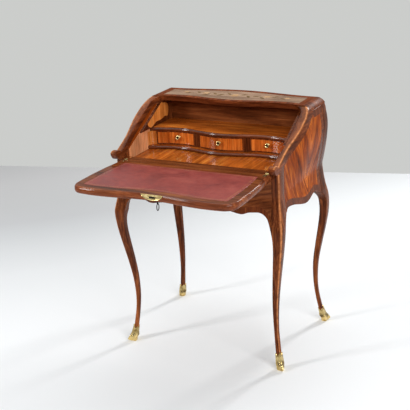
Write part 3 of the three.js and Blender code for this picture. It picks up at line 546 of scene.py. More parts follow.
# Tones: dark, middle and light
KINGWOOD = ((0.05, 0.011, 0.003), (0.19, 0.05, 0.014), (0.38, 0.125, 0.038))
LEG_TONES = ((0.035, 0.007, 0.002), (0.15, 0.036, 0.01), (0.36, 0.11, 0.032))
MOULDING = ((0.05, 0.011, 0.004), (0.17, 0.042, 0.013), (0.34, 0.1, 0.03))
LIP_TONES = ((0.07, 0.016, 0.005), (0.22, 0.055, 0.018), (0.42, 0.14, 0.05))
DARK_BAND = ((0.06, 0.014, 0.005), (0.17, 0.04, 0.011), (0.3, 0.085, 0.024))
SIDE_TONES = ((0.09, 0.015, 0.001), (0.38, 0.07, 0.006), (0.8, 0.24, 0.026))
BED_TONES = ((0.2, 0.045, 0.005), (0.52, 0.13, 0.016), (0.82, 0.3, 0.05))
DRAWER_TONES = ((0.28, 0.05, 0.006), (0.66, 0.155, 0.02), (0.92, 0.33, 0.07))
# Pale tulipwood, made paler still as painted light where the niche's cheeks are brightly lit.
TULIP_PALE_AND_LIT = ((0.55, 0.14, 0.022), (0.86, 0.3, 0.06), (0.97, 0.48, 0.15))
# Pale lining of the sides' inner faces, brightened further as a painted glare where the inside is
# lit.
LINING_GLARE_TONES = ((0.6, 0.2, 0.07), (0.9, 0.42, 0.2), (0.98, 0.58, 0.33))
# The top's greyed tones are a painted sheen: its pale reflection mixed into the wood's colour.
TOP_SHEEN_TONES = ((0.19, 0.12, 0.085), (0.34, 0.23, 0.165), (0.48, 0.35, 0.26))
INLAY_PALE = ((0.42, 0.24, 0.12), (0.62, 0.4, 0.22), (0.76, 0.56, 0.36))
INLAY_OLIVE = ((0.12, 0.075, 0.035), (0.2, 0.13, 0.06), (0.3, 0.2, 0.1))
OAK = ((0.2, 0.12, 0.06), (0.34, 0.22, 0.12), (0.46, 0.31, 0.18))
BRASS = ((0.34, 0.22, 0.07), (0.88, 0.7, 0.34))
STEEL = ((0.012, 0.01, 0.009), (0.045, 0.037, 0.031))

DULL = {"gloss": 0.62, "coat": 0}
LIGHT = {"stripe": 60, "contrast": 0.8}

kingwood_x = wood("kingwood along x", KINGWOOD, "X")
kingwood_z = wood("kingwood along z", LEG_TONES, "Z", 60, contrast=1.2, seed=0.7, curl=1.2)
kingwood_veneer = wood("kingwood veneer", KINGWOOD, stripe=30, seed=0.2, curl=2.0)
moulding_x = wood("moulding along x", MOULDING, "X", coat=0.8, seed=0.1)
moulding_y = wood("moulding along y", MOULDING, "Y", seed=0.8)
lip_x = wood("lip along x", LIP_TONES, "X", coat=0.3, seed=0.6)
edge_x = wood("edge along x", MOULDING, "X", gloss=0.45, coat=0, seed=0.12)
tulipwood_x = wood("tulipwood along x", BED_TONES, "X", stripe=34)
tulipwood_y = wood("tulipwood along y", BED_TONES, "Y", 56, contrast=0.8, coat=0.5, seed=0.4)
glare_lining_veneer = wood("lining veneer", LINING_GLARE_TONES, stripe=44, contrast=0.8, seed=0.65)
light_veneer = wood("light tulipwood veneer", TULIP_PALE_AND_LIT, seed=0.55, **LIGHT)
light_z = wood("light tulipwood along z", TULIP_PALE_AND_LIT, "Z", gloss=0.12, coat=1, seed=0.25, **LIGHT)
drawer_veneer = wood("drawer veneer", DRAWER_TONES, "", 90, 0.8, coat=0.4, seed=0.15)
side_veneer = wood("side veneer", SIDE_TONES, stripe=26, gloss=0.3, coat=0, seed=0.35, curl=2.2)
band_veneer = wood("crossbanding", DARK_BAND, stripe=70, seed=0.6)
top_band = wood("top banding veneer", DARK_BAND, seed=0.7, **DULL)
sheened_top_veneer = wood("top veneer", TOP_SHEEN_TONES, stripe=30, seed=0.15, **DULL)
pale_inlay = wood("pale inlay", INLAY_PALE, **DULL)
olive_inlay = wood("olive inlay", INLAY_OLIVE, **DULL)
niche_wood = wood("niche board", KINGWOOD, "X", stripe=30, gloss=0.42, coat=0, seed=0.45)
oak_x = wood("oak along x", OAK, "X", gloss=0.5, coat=0.05)
brass = metal("gilt brass", BRASS, 0.22)
steel = metal("dark steel", STEEL, 0.45)

# Aprons and legs

# How far down an apron's edge is, as a share of its drop: from the front back at a side, and from
# the middle out at the front and at the back
SIDE_APRON = [
    (0, 0.3), (0.02, 0.1), (0.05, -0.02), (0.1, -0.01), (0.22, 0.2), (0.33, 0.5), (0.44, 0.79),
    (0.52, 0.94), (0.58, 0.96), (0.65, 0.87), (0.72, 0.71), (0.78, 0.6), (0.84, 0.62),
    (0.9, 0.82), (0.96, 1.06), (1, 1.2),
]
SIDE_DROP = 36
END_APRON = [
    (0, 0.02), (0.3, 0.07), (0.48, 0.17), (0.58, 0.25), (0.64, 0.24), (0.7, 0.13),
    (0.77, 0.08), (0.83, 0.05), (0.87, 0.08), (0.91, 0.17), (0.95, 0.36), (0.975, 0.63), (1, 1),
]
FRONT_DROP = 62
BACK_DROP = 43
# Over a leg's height to its post: how far its arris leans out, at the front and at the back
FRONT_ARRIS, BACK_ARRIS = readings([
    (0, 0.33, 0.33), (0.067, 0.03, -0.02), (0.135, -0.22, -0.32), (0.236, -0.5, -0.66),
    (0.337, -0.56, -0.75), (0.455, -0.39, -0.61), (0.575, -0.02, -0.2), (0.693, 0.42, 0.26),
    (0.794, 0.78, 0.57), (0.878, 0.98, 0.62), (0.946, 1.04, 0.5),
])
# Over the same height: how wide the leg is
LEG_SIDE = smooth_table([
    (0, 0.39), (0.135, 0.36), (0.236, 0.34), (0.337, 0.39), (0.455, 0.47), (0.575, 0.56),
    (0.693, 0.65), (0.794, 0.73), (0.878, 0.83), (0.946, 0.9),
])
LEG_REACH = 26
KNEE_SIDE = 44
POST_DEPTH = 46
LEG_ROUNDING = 0.22
INNER_ROUNDING = 0.36
ARCH_SPAN = 50
ARCH_SHAPE = 2.2
OUTER_SPAN = 77
SIDE_INNER = WAIST_HALF - 28
FOOT_BOTTOM = 6.3
FRONT_FOOT_IN = 11
BACK_FOOT_OUT = 3
EDGE_ROUNDING = 0.33 * LEG_ROUNDING
LEG_LEVELS, POST_LEVELS = 90, 24


def arch(z, apron_end):
    return clamp((z - apron_end + ARCH_SPAN) / ARCH_SPAN) ** ARCH_SHAPE


def leg_bounds(is_front):
    """A reading of the leg's section over its height: its sides' x and y, and how round its
    inner corner is."""
    foot_x = WAIST_HALF - FRONT_FOOT_IN if is_front else WAIST_HALF + BACK_FOOT_OUT
    arris_at = FRONT_ARRIS if is_front else BACK_ARRIS
    side = -FRONT_DEPTH if is_front else BACK_DEPTH
    corner_y = front_out if is_front else back_corner_out
    post_inner = abs(side) - POST_DEPTH
    end_low = APRON_HEIGHT - (FRONT_DROP if is_front else BACK_DROP)
    side_low = APRON_HEIGHT - SIDE_DROP * SIDE_APRON[0 if is_front else -1][1]

    def at(z):
        share = z / POST_HEIGHT
        arris = LEG_REACH * arris_at(share)
        blend = smoothstep(z, POST_HEIGHT - OUTER_SPAN, POST_HEIGHT)
        out_x = lerp(foot_x + arris, side_out(side, z), blend)
        out_y = lerp(FOOT_Y + arris, corner_y(z), blend)
        across = KNEE_SIDE * LEG_SIDE(share)
        in_x = lerp(out_x - across, SIDE_INNER + GAP, arch(z, end_low))
        in_y = lerp(out_y - across, post_inner, arch(z, side_low))
        return in_x, out_x, in_y, out_y, INNER_ROUNDING * (1 - arch(z, end_low))

    return at


def rounded(x0, x1, y0, y1, radii, count):
    """A rectangle with its corners rounded, from the corner (x1, y1) round by (x0, y1)."""
    ring = []
    corners = [(x1, y1, -1, -1), (x0, y1, 1, -1), (x0, y0, 1, 1), (x1, y0, -1, 1)]
    for turn, ((x, y, sx, sy), radius) in enumerate(zip(corners, radii)):
        for a in steps(turn * pi / 2, (turn + 1) * pi / 2, count):
            ring.append((x + radius * (sx + cos(a)), y + radius * (sy + sin(a))))
    return ring


def leg_section(bounds, z, grow, count):
    """The leg's outline at a height, grown, as if for the back right leg, and its width."""
    in_x, out_x, in_y, out_y, inner_share = bounds(z)
    side = min(out_x - in_x, out_y - in_y)
    edge = EDGE_ROUNDING * side
    radii = [LEG_ROUNDING * side, edge, max(edge, inner_share * side), edge]
    grown = in_x - grow, out_x + grow, in_y - grow, out_y + grow
    return rounded(*grown, [radius + grow for radius in radii], count), side


# Points on each rounded corner, and how rubbed each is: the outer arris alone, most in its middle
# The rubbing lightens the wood, as wear and as a painted highlight along the arris.
LEG_COUNT = 4
LEG_RUB_AND_HIGHLIGHT = [1 - abs(2 * k / LEG_COUNT - 1) for k in range(LEG_COUNT + 1)] + [0] * 3 * (LEG_COUNT + 1)

LEGS = [("front_left", -1, -1), ("front_right", 1, -1), ("back_left", -1, 1), ("back_right", 1, 1)]
for leg, sign_x, sign_y in LEGS:
    is_front = sign_y < 0
    leg_top = HINGE_HEIGHT if is_front else TOP_UNDER - GAP
    bounds = leg_bounds(is_front)
    rings = []
    post = steps(POST_HEIGHT, leg_top, POST_LEVELS)[1:]
    for z in steps(FOOT_BOTTOM, POST_HEIGHT, LEG_LEVELS) + post:
        lean = clamp((z - WAIST_HEIGHT) / (leg_top - WAIST_HEIGHT)) if is_front else 0
        ring = []
        for x, y in leg_section(bounds, z, 0, LEG_COUNT)[0]:
            x, y = sign_x * x, sign_y * y
            ring.append((x, y, z + (slope_height(y, -GAP) - HINGE_HEIGHT) * lean))
        rings.append(ring)
    shape = Shape().loft(rings, rub=LEG_RUB_AND_HIGHLIGHT)
    piece(f"leg_{leg}_veneered", shape, [kingwood_z], f"leg_{leg}")

# Side panels: a book-matched field inside crossbanding

SIDE_START = -FRONT_DEPTH + POST_DEPTH + GAP
SIDE_END = BACK_DEPTH - POST_DEPTH - GAP
side_lower = smooth_table(SIDE_APRON)
BAND = 25
SLOPE_BAND = 8
FIELD_SLANT = 0.42
FIELD_ROWS = 40
SLOPE_COLUMNS, LEVEL_COLUMNS = 36, 14
SEAM_BACK = 40
LINING_SLANT = 0.3
FIELD, LOW_BAND, HIGH_BAND, END_BAND, LINING = range(5)


def side_panel(sign):
    top_level = TOP_UNDER - GAP
    slope_end = slope_depth(top_level, -GAP)
    seam = (SIDE_START + SIDE_END) / 2 + SEAM_BACK
    columns = steps(SIDE_START, slope_end, SLOPE_COLUMNS)
    columns += steps(slope_end, SIDE_END, LEVEL_COLUMNS)[1:]
    columns = sorted([*columns, SIDE_END - BAND])

    def heights(y):
        low = APRON_HEIGHT - SIDE_DROP * side_lower((y - SIDE_START) / (SIDE_END - SIDE_START))
        high = min(slope_height(y, -GAP), top_level)
        rise = SLOPE_BAND / COS if y < slope_end else BAND
        field = steps(low + BAND, high - rise, FIELD_ROWS)
        return [low, low + BAND / 2, *field, high - rise / 2, high]

    outer = [[(sign * side_out(y, z), y, z) for z in heights(y)] for y in columns]
    inner = [[(sign * SIDE_INNER, y, z) for z in heights(y)] for y in columns]

    def kind(i, j):
        if j < 2:
            return LOW_BAND
        if j > FIELD_ROWS + 1:
            return HIGH_BAND
        return END_BAND if columns[i] >= SIDE_END - BAND else FIELD

    def place(number, point):
        _, y, z = point
        off = abs(y - seam)
        return {
            FIELD: (z + off * FIELD_SLANT, off - z * FIELD_SLANT),
            LOW_BAND: (z, y),
            HIGH_BAND: (z - y * SIN, y),
            END_BAND: (y, z),
            LINING: (z - y * LINING_SLANT, y),
        }[number]

    return Shape().panel(outer, inner, LINING, kind=kind, place=place)


side_woods = [side_veneer, band_veneer, band_veneer, band_veneer, glare_lining_veneer]
for side, sign in SIDES:
    node, shape = f"side_panel_{side}", side_panel(sign)
    piece(f"side_{side}_veneered", shape, side_woods, node, bevel=PANEL_EDGE)

# Slope rails

RAIL_RISE = 24
RAIL_ROUND = 3.0
NOSE_REACH = 36
NOSE_RISE = 36
RAIL_START = 14
# The scroll nose from its tip back: share of its reach, and its lower and upper edge
NOSE = [(0, 0.62, 0.82), (0.12, 0.42, 0.97), (0.34, 0.16, 1.03), (0.62, 0.05, 1), (0.88, 0.02, 0.9)]
RAIL_MEETS = fall_length(FALL_HALF)
MEET_X = fall_edge_at(RAIL_MEETS)
NOSE_STATIONS, RAIL_STATIONS, END_STATIONS = 16, 50, 14
nose_edges = readings(NOSE)

# The rail's section, round from its inner side: share of its rise, rounding of its outer face
# and of its inner face, and how rubbed it is
# Rubbing lightens the wood, as wear and as a painted highlight along the rail's outer arris.
RAIL_PROFILE = [
    (0, 0, 0, 0), (0.3, 0, 0, 0), (0.6, 0, 0, 0), (0.84, 0, 0, 0.1), (0.92, 0.25, 0, 0.5),
    (0.97, 0.6, 0, 1), (1, 1.1, 0, 1), (1, 2.6, 0, 0.2), (1, 0, 0.7, 0), (0.985, 0, 0.3, 0),
    (0.95, 0, 0.08, 0), (0.88, 0, 0, 0), (0.4, 0, 0, 0), (0, 0, 0, 0),
]
RAIL_OUTER = 8


def slope_rail(sign):
    stations = []
    for t in steps(0, 1, NOSE_STATIONS)[:-1]:
        back = t * t * NOSE[-1][0]
        y = -FRONT_DEPTH - NOSE_REACH * (1 - back)
        ends = (HINGE_HEIGHT + NOSE_RISE * edge(back) for edge in nose_edges)
        stations.append([(y, z) for z in ends])
    arc_start = FALL_ARC[0][1]
    places = steps(RAIL_START, arc_start, RAIL_STATIONS)
    places += steps(arc_start, RAIL_MEETS + FALL_GAP - GAP, END_STATIONS)[1:]
    stations += [(on_slope(s, 0), on_slope(s, RAIL_RISE)) for s in places]
    rings = []
    for low, high in stations:
        ring = []
        for k, (share, round_out, round_in, _) in enumerate(RAIL_PROFILE):
            y, z = lerp(low[0], high[0], share), lerp(low[1], high[1], share)
            if k < RAIL_OUTER:
                x = side_out(max(y, -FRONT_DEPTH), z) - RAIL_ROUND * round_out
            else:
                radius = hypot(y + FRONT_DEPTH, z - HINGE_HEIGHT)
                up = (y + FRONT_DEPTH) * COS + (z - HINGE_HEIGHT) * SIN
                x = max(fall_edge_at(up), fall_edge_at(radius)) + FALL_GAP + RAIL_ROUND * round_in
            ring.append((sign * x, y, z))
        rings.append(ring)
    return Shape().loft(rings, rub=[rub for *_, rub in RAIL_PROFILE])


for side, sign in SIDES:
    rail = f"slope_rail_{side}"
    piece(f"{rail}_veneered", slope_rail(sign), [moulding_y], rail)

# Front apron and back panel

apron_lower = smooth_table(END_APRON)
PANEL_THICK = 16
APRON_THICK = 18
RAIL_UNDER = HINGE_HEIGHT - 24
APRON_BAND = 20
END_ROWS = 16
BACK_ROWS = 40
END_COLUMNS = 96
END_SLANT = 0.25


def end_panel(outs, drop, top, thick, rows):
    half = SIDE_INNER - GAP
    across = [half * (1.5 * t - 0.5 * t**3) for t in steps(-1, 1, END_COLUMNS)]

    def heights(x):
        low = APRON_HEIGHT - drop * apron_lower(abs(x) / SIDE_INNER)
        return [low, *steps(low + APRON_BAND, top, rows)]

    outer = [[(x, outs(x, z), z) for z in heights(x)] for x in across]
    sign = 1 if outs(0, top) > 0 else -1
    inner = [[(x, outs(x, z) - sign * thick, z) for z in heights(x)] for x in across]

    def place(number, point):
        x, _, z = point
        return (z, x) if number else (abs(x), z - abs(x) * END_SLANT)

    return Shape().panel(outer, inner, kind=lambda i, j: 1 if j < 1 else 0, place=place)


end_woods = [kingwood_veneer, band_veneer]
front = end_panel(lambda x, z: -front_out(z), FRONT_DROP, RAIL_UNDER - GAP, APRON_THICK, END_ROWS)
piece("front_apron_veneered", front, end_woods, "front_apron", bevel=PANEL_EDGE)
back = end_panel(back_out, BACK_DROP, TOP_UNDER - GAP, PANEL_THICK, BACK_ROWS)
piece("back_veneered", back, end_woods, "back_panel", bevel=PANEL_EDGE)

# Top board

TOP_BAND = 24
TOP_SLANT = 0.25
FRONT_STEPS, END_STEPS, BACK_STEPS = 44, 30, 60
TOP_EDGE = [(x, fall_length(x)) for x in steps(0, CORNER_X, FRONT_STEPS)]
TOP_EDGE += [(x, s) for x, s in reversed(FALL_ARC) if CORNER_X < x < MEET_X]
TOP_EDGE += [(MEET_X, RAIL_MEETS)]


def top_depth(s, z):
    return -FRONT_DEPTH + (s + FALL_GAP - (z - HINGE_HEIGHT) * SIN) / COS


def top_outline(z):
    front_y = top_depth(RAIL_MEETS, z)
    back_x = side_out(BACK_DEPTH, z)
    right = [(x, top_depth(s, z)) for x, s in TOP_EDGE] + [(side_out(front_y, z), front_y)]
    front = [(-x, y) for x, y in reversed(right[1:])] + right
    end = steps(front_y, back_out(TOP_HALF, z), END_STEPS)[1:-1]
    end = [(side_out(y, z), y) for y in end]
    back = [(t * back_x, back_out(t * back_x, z)) for t in steps(1, -1, BACK_STEPS)]
    other = [(-x, y) for x, y in reversed(end)]
    return level(front + end + back + other, z)


def drawn_in(ring, inset):
    """The top's outline drawn in along x at its ends and along y at its front and back."""
    edge = TOP_EDGE + [(TOP_HALF, RAIL_MEETS)]
    inner = []
    for x, y, z in ring:
        x = clamp(x, inset - TOP_HALF, TOP_HALF - inset)
        low = top_depth(from_table(edge, abs(x)), z) + inset
        inner.append((x, clamp(y, low, back_out(x, z) - inset), z))
    return inner


def top_board():
    shape = Shape()
    rings = [top_outline(lerp(TOP_UNDER, TOP_HEIGHT, sin(a))) for a in QUARTER]
    shape.grid(rings, closed=True)
    shape.face(rings[0][::-1])
    inner = drawn_in(rings[-1], TOP_BAND)

    def place(number, point):
        x, y, _ = point
        return (x, y) if abs(x) > TOP_HALF - TOP_BAND else (y, x)

    shape.grid([rings[-1], inner], closed=True, kind=lambda i, j: 1, place=place)
    shape.face(inner, 2, [(x + TOP_SLANT * y, y) for x, y, _ in inner])
    return shape


top_woods = [edge_x, top_band, sheened_top_veneer]
piece("top_veneered", top_board(), top_woods, "top_board")

# A floral spray let into the top: a stem with leaves and open flowers each way

INLAY_LIFT = 0.25
SPRAY_STEM = [(0, 0), (40, 9), (85, -6), (130, 8), (172, -2), (205, 6)]
SPRAY_LEAVES = [
    (22, 50, 30), (48, -55, 34), (74, 40, 30), (104, -45, 36), (150, 50, 30), (186, -30, 26),
]
SPRAY_FLOWERS = [(0, 0, 21), (128, 10, 17), (210, 6, 12)]
PETALS = 6
STEM_WIDE = 1.6
LEAF_TAPER = 0.35
LEAF_SLIM, PETAL_SLIM = 5, 3.2
LEAF_STEPS, STEM_STEPS = 10, 40
PETAL_TURN = 0.3


def leaf(x, y, turn, long, wide):
    """A pointed leaf's outline from its stalk at (x, y)."""
    shares = steps(0, 1, LEAF_STEPS)
    sides = [(t * long, wide * sin(pi * t) ** 0.8 * (1 - LEAF_TAPER * t)) for t in shares]
    ring = sides + [(along, -half) for along, half in sides[-2:0:-1]]
    c, d = cos(turn), sin(turn)
    return [(x + a * c - b * d, y + a * d + b * c) for a, b in ring]


def spray(middle_y, surface):
    """The stem and leaves in the second material and the flowers in the first, both ways."""
    stem = smooth_table(SPRAY_STEM)
    found = []
    for sign in (1, -1):
        xs = steps(0, SPRAY_STEM[-1][0], STEM_STEPS)
        upper = [(sign * x, middle_y + stem(x) + STEM_WIDE / 2) for x in xs]
        lower = [(sign * x, middle_y + stem(x) - STEM_WIDE / 2) for x in reversed(xs)]
        found.append((1, upper + lower))
        for x, turn, long in SPRAY_LEAVES:
            angle = radians(turn) if sign > 0 else pi - radians(turn)
            found.append((1, leaf(sign * x, middle_y + stem(x), angle, long, long / LEAF_SLIM)))
        for x, y, size in SPRAY_FLOWERS[0 if sign > 0 else 1 :]:
            for petal in range(PETALS):
                angle = 2 * pi * petal / PETALS + PETAL_TURN
                outline = leaf(sign * x, middle_y + y, angle, size, size / PETAL_SLIM)
                found.append((0, outline))
    shape = Shape()
    for number, (kind, outline) in enumerate(found):
        lift = INLAY_LIFT * (1 + number / len(found))
        low, high = level(outline, surface - INLAY_LIFT), level(outline, surface + lift)
        shape.grid([low, high], closed=True, kind=lambda i, j, kind=kind: kind)
        shape.face(low, kind)
        shape.face(high, kind, outline)
    return shape


middle_y = (top_depth(FALL_MIDDLE, TOP_HEIGHT) + back_out(0, TOP_HEIGHT)) / 2
piece("top_inlay", spray(middle_y, TOP_HEIGHT), [pale_inlay, olive_inlay])

# Drawer nest

NEST_BACK = BACK_DEPTH - 55
NEST_WAVE = 28
NEST_WAVE_PITCH = 340
NEST_STATIONS = 120
INSIDE_HALF = SIDE_INNER - GAP
BASE_FRONT = NEST_BACK - 162
SHELF_FRONT = NEST_BACK - 142
FACE_Y = NEST_BACK - 135


def nest_front(quarter_y, x):
    return quarter_y - NEST_WAVE * (1 - wave(x, NEST_WAVE_PITCH))


# The moulding of a board's front edge, from its underside up: how far back and height share
NOSING = [
    (5.5, 0), (5, 0.1), (2, 0.16), (0.6, 0.26), (0, 0.42), (0.1, 0.58), (0.8, 0.74),
    (2.4, 0.88), (3.4, 0.9), (3.8, 1), (9, 1),
]


def moulded_board(quarter_y, low, high):
    rings = []
    for x in steps(-INSIDE_HALF, INSIDE_HALF, NEST_STATIONS):
        y = nest_front(quarter_y, x)
        ring = [(x, y + back, lerp(low, high, up)) for back, up in NOSING]
        rings.append([*ring, (x, NEST_BACK, high), (x, NEST_BACK, low)])
    return Shape().loft(rings, kind=lambda i, j: 1 if j == len(NOSING) - 1 else 0)


for node, quarter in (("nest_base", BASE_FRONT), ("nest_shelf", SHELF_FRONT)):
    low, high = box_of(node)
    board = moulded_board(quarter, low.z, high.z)
    piece(f"{node}_moulded", board, [moulding_x, tulipwood_x], node)

# Nest ends, which sweep forward to the sides

NEST_END_X = SIDE_INNER - 21.7
SWEEP_X = SIDE_INNER - 11
SWEEP_REACH = 26


def nest_end(sign, low, high):
    front = [(x, nest_front(FACE_Y, x)) for x in steps(NEST_END_X, SWEEP_X, 6)]
    start, sweep = front[-1][1], INSIDE_HALF - SWEEP_X
    for a in QUARTER[1:]:
        front.append((SWEEP_X + sweep * sin(a), start - SWEEP_REACH * (1 - cos(a))))
    outline = [*front, (INSIDE_HALF, NEST_BACK), (NEST_END_X, NEST_BACK)]
    return Shape().loft([[(sign * x, y, z) for x, y in outline] for z in (low, high)])


low, high = box_of("nest_end_right")
for side, sign in SIDES:
    shape = nest_end(sign, low.z, high.z)
    node = f"nest_end_{side}"
    piece(f"{node}_veneered", shape, [light_z], node, bevel=END_EDGE)

# Drawer fronts and knobs

DRAWER_BORDER = 5
DRAWER_COLUMNS = 24
# A knob from its base outwards: reach and radius shares; its last steps, the hollow of its cup, are
# dark as painted shade
KNOB = [
    (0, 0.66), (0.1, 0.7), (0.15, 0.62), (0.2, 0.42), (0.3, 0.33), (0.44, 0.36), (0.54, 0.7),
    (0.62, 0.88), (0.7, 0.98), (0.78, 1), (0.88, 0.95), (0.95, 0.84), (0.97, 0.74), (0.92, 0.62),
    (0.84, 0.5), (0.78, 0.3), (0.76, 0.02),
]
KNOB_SHADED_STEPS = 3
KNOB_SIDES = 40


def drawer_front(low, high):
    field = steps(low.x + DRAWER_BORDER, high.x - DRAWER_BORDER, DRAWER_COLUMNS)
    xs = [low.x, *field, high.x]
    zs = [low.z, low.z + DRAWER_BORDER, high.z - DRAWER_BORDER, high.z]
    outer = [[(x, nest_front(FACE_Y, x), z) for z in zs] for x in xs]
    inner = [[(x, high.y, z) for z in zs] for x in xs]

    def kind(i, j):
        return 1 if i in (0, len(xs) - 2) or j in (0, 2) else 0

    return Shape().panel(outer, inner, kind=kind, place=lambda number, p: (p[2], p[0]))


def turned(centre, face, reach, radius):
    """A knob standing out towards -Y from a face."""
    rings = []
    for out, wide in KNOB:
        around = [(wide * radius * cos(a), wide * radius * sin(a)) for a in circle(KNOB_SIDES)]
        rings.append([(centre.x + x, face - out * reach, centre.z + z) for x, z in around])
    return Shape().loft(rings, kind=lambda i, j: 1 if i >= len(KNOB) - KNOB_SHADED_STEPS else 0)


for side in ("left", "centre", "right"):
    body, front = f"{side}_drawer", f"drawer_{side}_front"
    woods = [drawer_veneer, band_veneer]
    shape = drawer_front(*box_of(front))
    piece(f"drawer_{side}_veneered", shape, woods, front, body, DRAWER_EDGE)
    low, high = box_of(f"knob_{side}")
    shape = turned((low + high) / 2, high.y, high.y - low.y, (high.x - low.x) / 2)
    piece(f"knob_{side}_turned", shape, [brass, steel], f"knob_{side}", body)

# Veneer patches on the niche's cheeks, outlined in the desk's (y, z)

PATCH = [
    (-47, 844), (-35, 821), (-14, 814), (23, 826), (60, 826), (92, 832), (112, 829),
    (121, 847), (118, 874), (76, 889), (25, 899), (-8, 887), (-41, 866),
]
PATCH_THICK = 0.6
PATCH_CLEAR = 4
face_x = box_of("niche_cheek_right")[0].x


def patch(sign):
    ends = PATCH[-1:] + PATCH + PATCH[:2]
    spans = zip(ends, ends[1:], ends[2:], ends[3:])
    outline = [between(*span, t) for span in spans for t in SPAN]
    outline = [(y, min(z, slope_height(y, -PATCH_CLEAR))) for y, z in outline]
    rings = [[(sign * x, y, z) for y, z in outline] for x in (face_x, face_x - PATCH_THICK)]
    shape = Shape().grid(rings, closed=True)
    shape.face(rings[0])
    shape.face(rings[1], 0, [(z, y) for y, z in outline])
    return shape


for side, sign in SIDES:
    piece(f"cheek_inlay_{side}", patch(sign), [light_veneer])

# The fall's lip

FALL_SIDE_STEPS, FALL_EDGE_STEPS = 24, 48


def fall_outline(inset, start=GAP):
    """The fall's outline drawn in by an inset, from one end of a line s = start to the other."""
    corner = corner_arc(inset)
    side = [(fall_half_at(s) - inset, s) for s in steps(start, corner[0][1], FALL_SIDE_STEPS)]
    edge = steps(corner_start(inset), 0, FALL_EDGE_STEPS)
    edge = [(x, fall_length(x) - inset) for x in edge]
    right = [*side[:-1], *corner, *edge[1:]]
    left = [(-x, s) for x, s in reversed(right[:-1])]
    return [(x, -FRONT_DEPTH - s) for x, s in [*right, *left]]


# The lip's section, from under its inner edge round: shares of its width and height
LIP = [
    (0, 0), (0.5, 0.01), (0.78, 0.07), (0.92, 0.18), (1, 0.34), (1, 0.52), (0.95, 0.68),
    (0.82, 0.81), (0.66, 0.88), (0.6, 0.9), (0.58, 0.93), (0.5, 0.96), (0.3, 1), (0, 1),
]
fall_under = HINGE_HEIGHT - FALL_THICK
rings = []
for (x0, y0), (x1, y1) in zip(fall_outline(LIP_WIDTH), fall_outline(0)):
    section = [(lerp(x0, x1, out), lerp(y0, y1, out), up) for out, up in LIP]
    rings.append([(x, y, fall_under + FALL_THICK * up) for x, y, up in section])
lip = piece("fall_lip", Shape().loft(rings), [lip_x], "fall_moulding", "fall_front")

# The fall's outer face: a book-matched field inside crossbanding

VENEER_THICK = 0.2
FALL_BAND = 30
FALL_SLANT = 0.8


def fall_veneer():
    outline, field = (fall_outline(LIP_WIDTH + GAP + inset) for inset in (0, FALL_BAND))
    field = [(x, min(y, -FRONT_DEPTH - FALL_BAND)) for x, y in field]
    face = fall_under - VENEER_THICK
    back, outer, inner = level(outline, fall_under), level(outline, face), level(field, face)

    def place(number, point):
        x, y, _ = point
        return (y, x) if abs(x) < FALL_HALF - LIP_WIDTH - FALL_BAND - FALL_TAPER else (x, y)

    shape = Shape().grid([back, outer], closed=True, kind=lambda i, j: 1)
    shape.grid([outer, inner], closed=True, kind=lambda i, j: 1, place=place)
    middle = len(inner) // 2
    for half in (inner[: middle + 1], inner[middle:] + inner[:1]):
        places = [(abs(x) * FALL_SLANT + y, FALL_SLANT * y - abs(x)) for x, y, _ in half]
        shape.face(half, 0, places)
    shape.face(back, 1)
    return shape


piece("fall_veneer", fall_veneer(), end_woods, body="fall_front")

# Lock plate, with its pocket in the lip

plate_low, plate_high = box_of("lock_plate")
bolt_low, bolt_high = box_of("lock_bolt")
PLATE_ROOM = 0.4
BOLT_ROOM = Vector((1, 1, 1))
CUT_PAST = 30
SLOT_DEEP = 12
PLATE_STEPS = 48


def cut(made, shape):
    """Cuts a closed shape out of a piece's mesh."""
    tool = piece("tool", shape, [], body="fall_front")
    boolean = made.modifiers.new("cut", "BOOLEAN")
    boolean.object = tool
    boolean.solver = "EXACT"
    bpy.context.view_layer.update()
    whole = made.evaluated_get(bpy.context.evaluated_depsgraph_get())
    mesh = bpy.data.meshes.new_from_object(whole)
    made.modifiers.remove(boolean)
    made.data = mesh
    bpy.data.objects.remove(tool)


def half_moon(y_rings):
    """A closed half-round shape, flat edge up, through [y, growth of the plate's size] rings."""
    middle_x = (plate_low.x + plate_high.x) / 2
    half, tall = (plate_high.x - plate_low.x) / 2, plate_high.z - plate_low.z
    rings = []
    for y, grow in y_rings:
        wide, deep, top = half + grow, tall + 2 * grow, plate_high.z + grow
        arc = steps(pi, 2 * pi, PLATE_STEPS)
        rings.append([(middle_x + wide * cos(a), y, top + deep * sin(a)) for a in arc])
    return Shape().loft(rings)


def block(x0, x1, y0, y1, z0, z1):
    """The lower and the upper ring of a block."""
    ring = [(x0, y0), (x1, y0), (x1, y1), (x0, y1)]
    return [level(ring, z0), level(ring, z1)]


low, high = bolt_low - BOLT_ROOM, bolt_high + BOLT_ROOM
ahead, behind = plate_low.y - CUT_PAST, plate_high.y + SLOT_DEEP
bolt_slot = Shape().loft(block(low.x, high.x, ahead, behind, low.z, high.z))
cut(lip, half_moon([(ahead, PLATE_ROOM), (plate_high.y + GAP, PLATE_ROOM)]))
cut(lip, bolt_slot)
# The plate's rolled rim, from its back out: y from its face, and growth
PLATE_RIM = [(0.2, 0), (-0.5, -0.4), (-0.8, -1.2), (-0.6, -2), (0.1, -2.7), (0.3, -3.4), (0.5, -5)]
plate = half_moon([(plate_high.y, 0)] + [(plate_low.y + y, grow) for y, grow in PLATE_RIM])
made = piece("lock_plate_cast", plate, [brass], "lock_plate", "fall_front")
cut(made, bolt_slot)

# Leather, with two gilt lines tooled in it

LEATHER_MARGIN = 35 + GAP
LEATHER_BACK = 38 + GAP
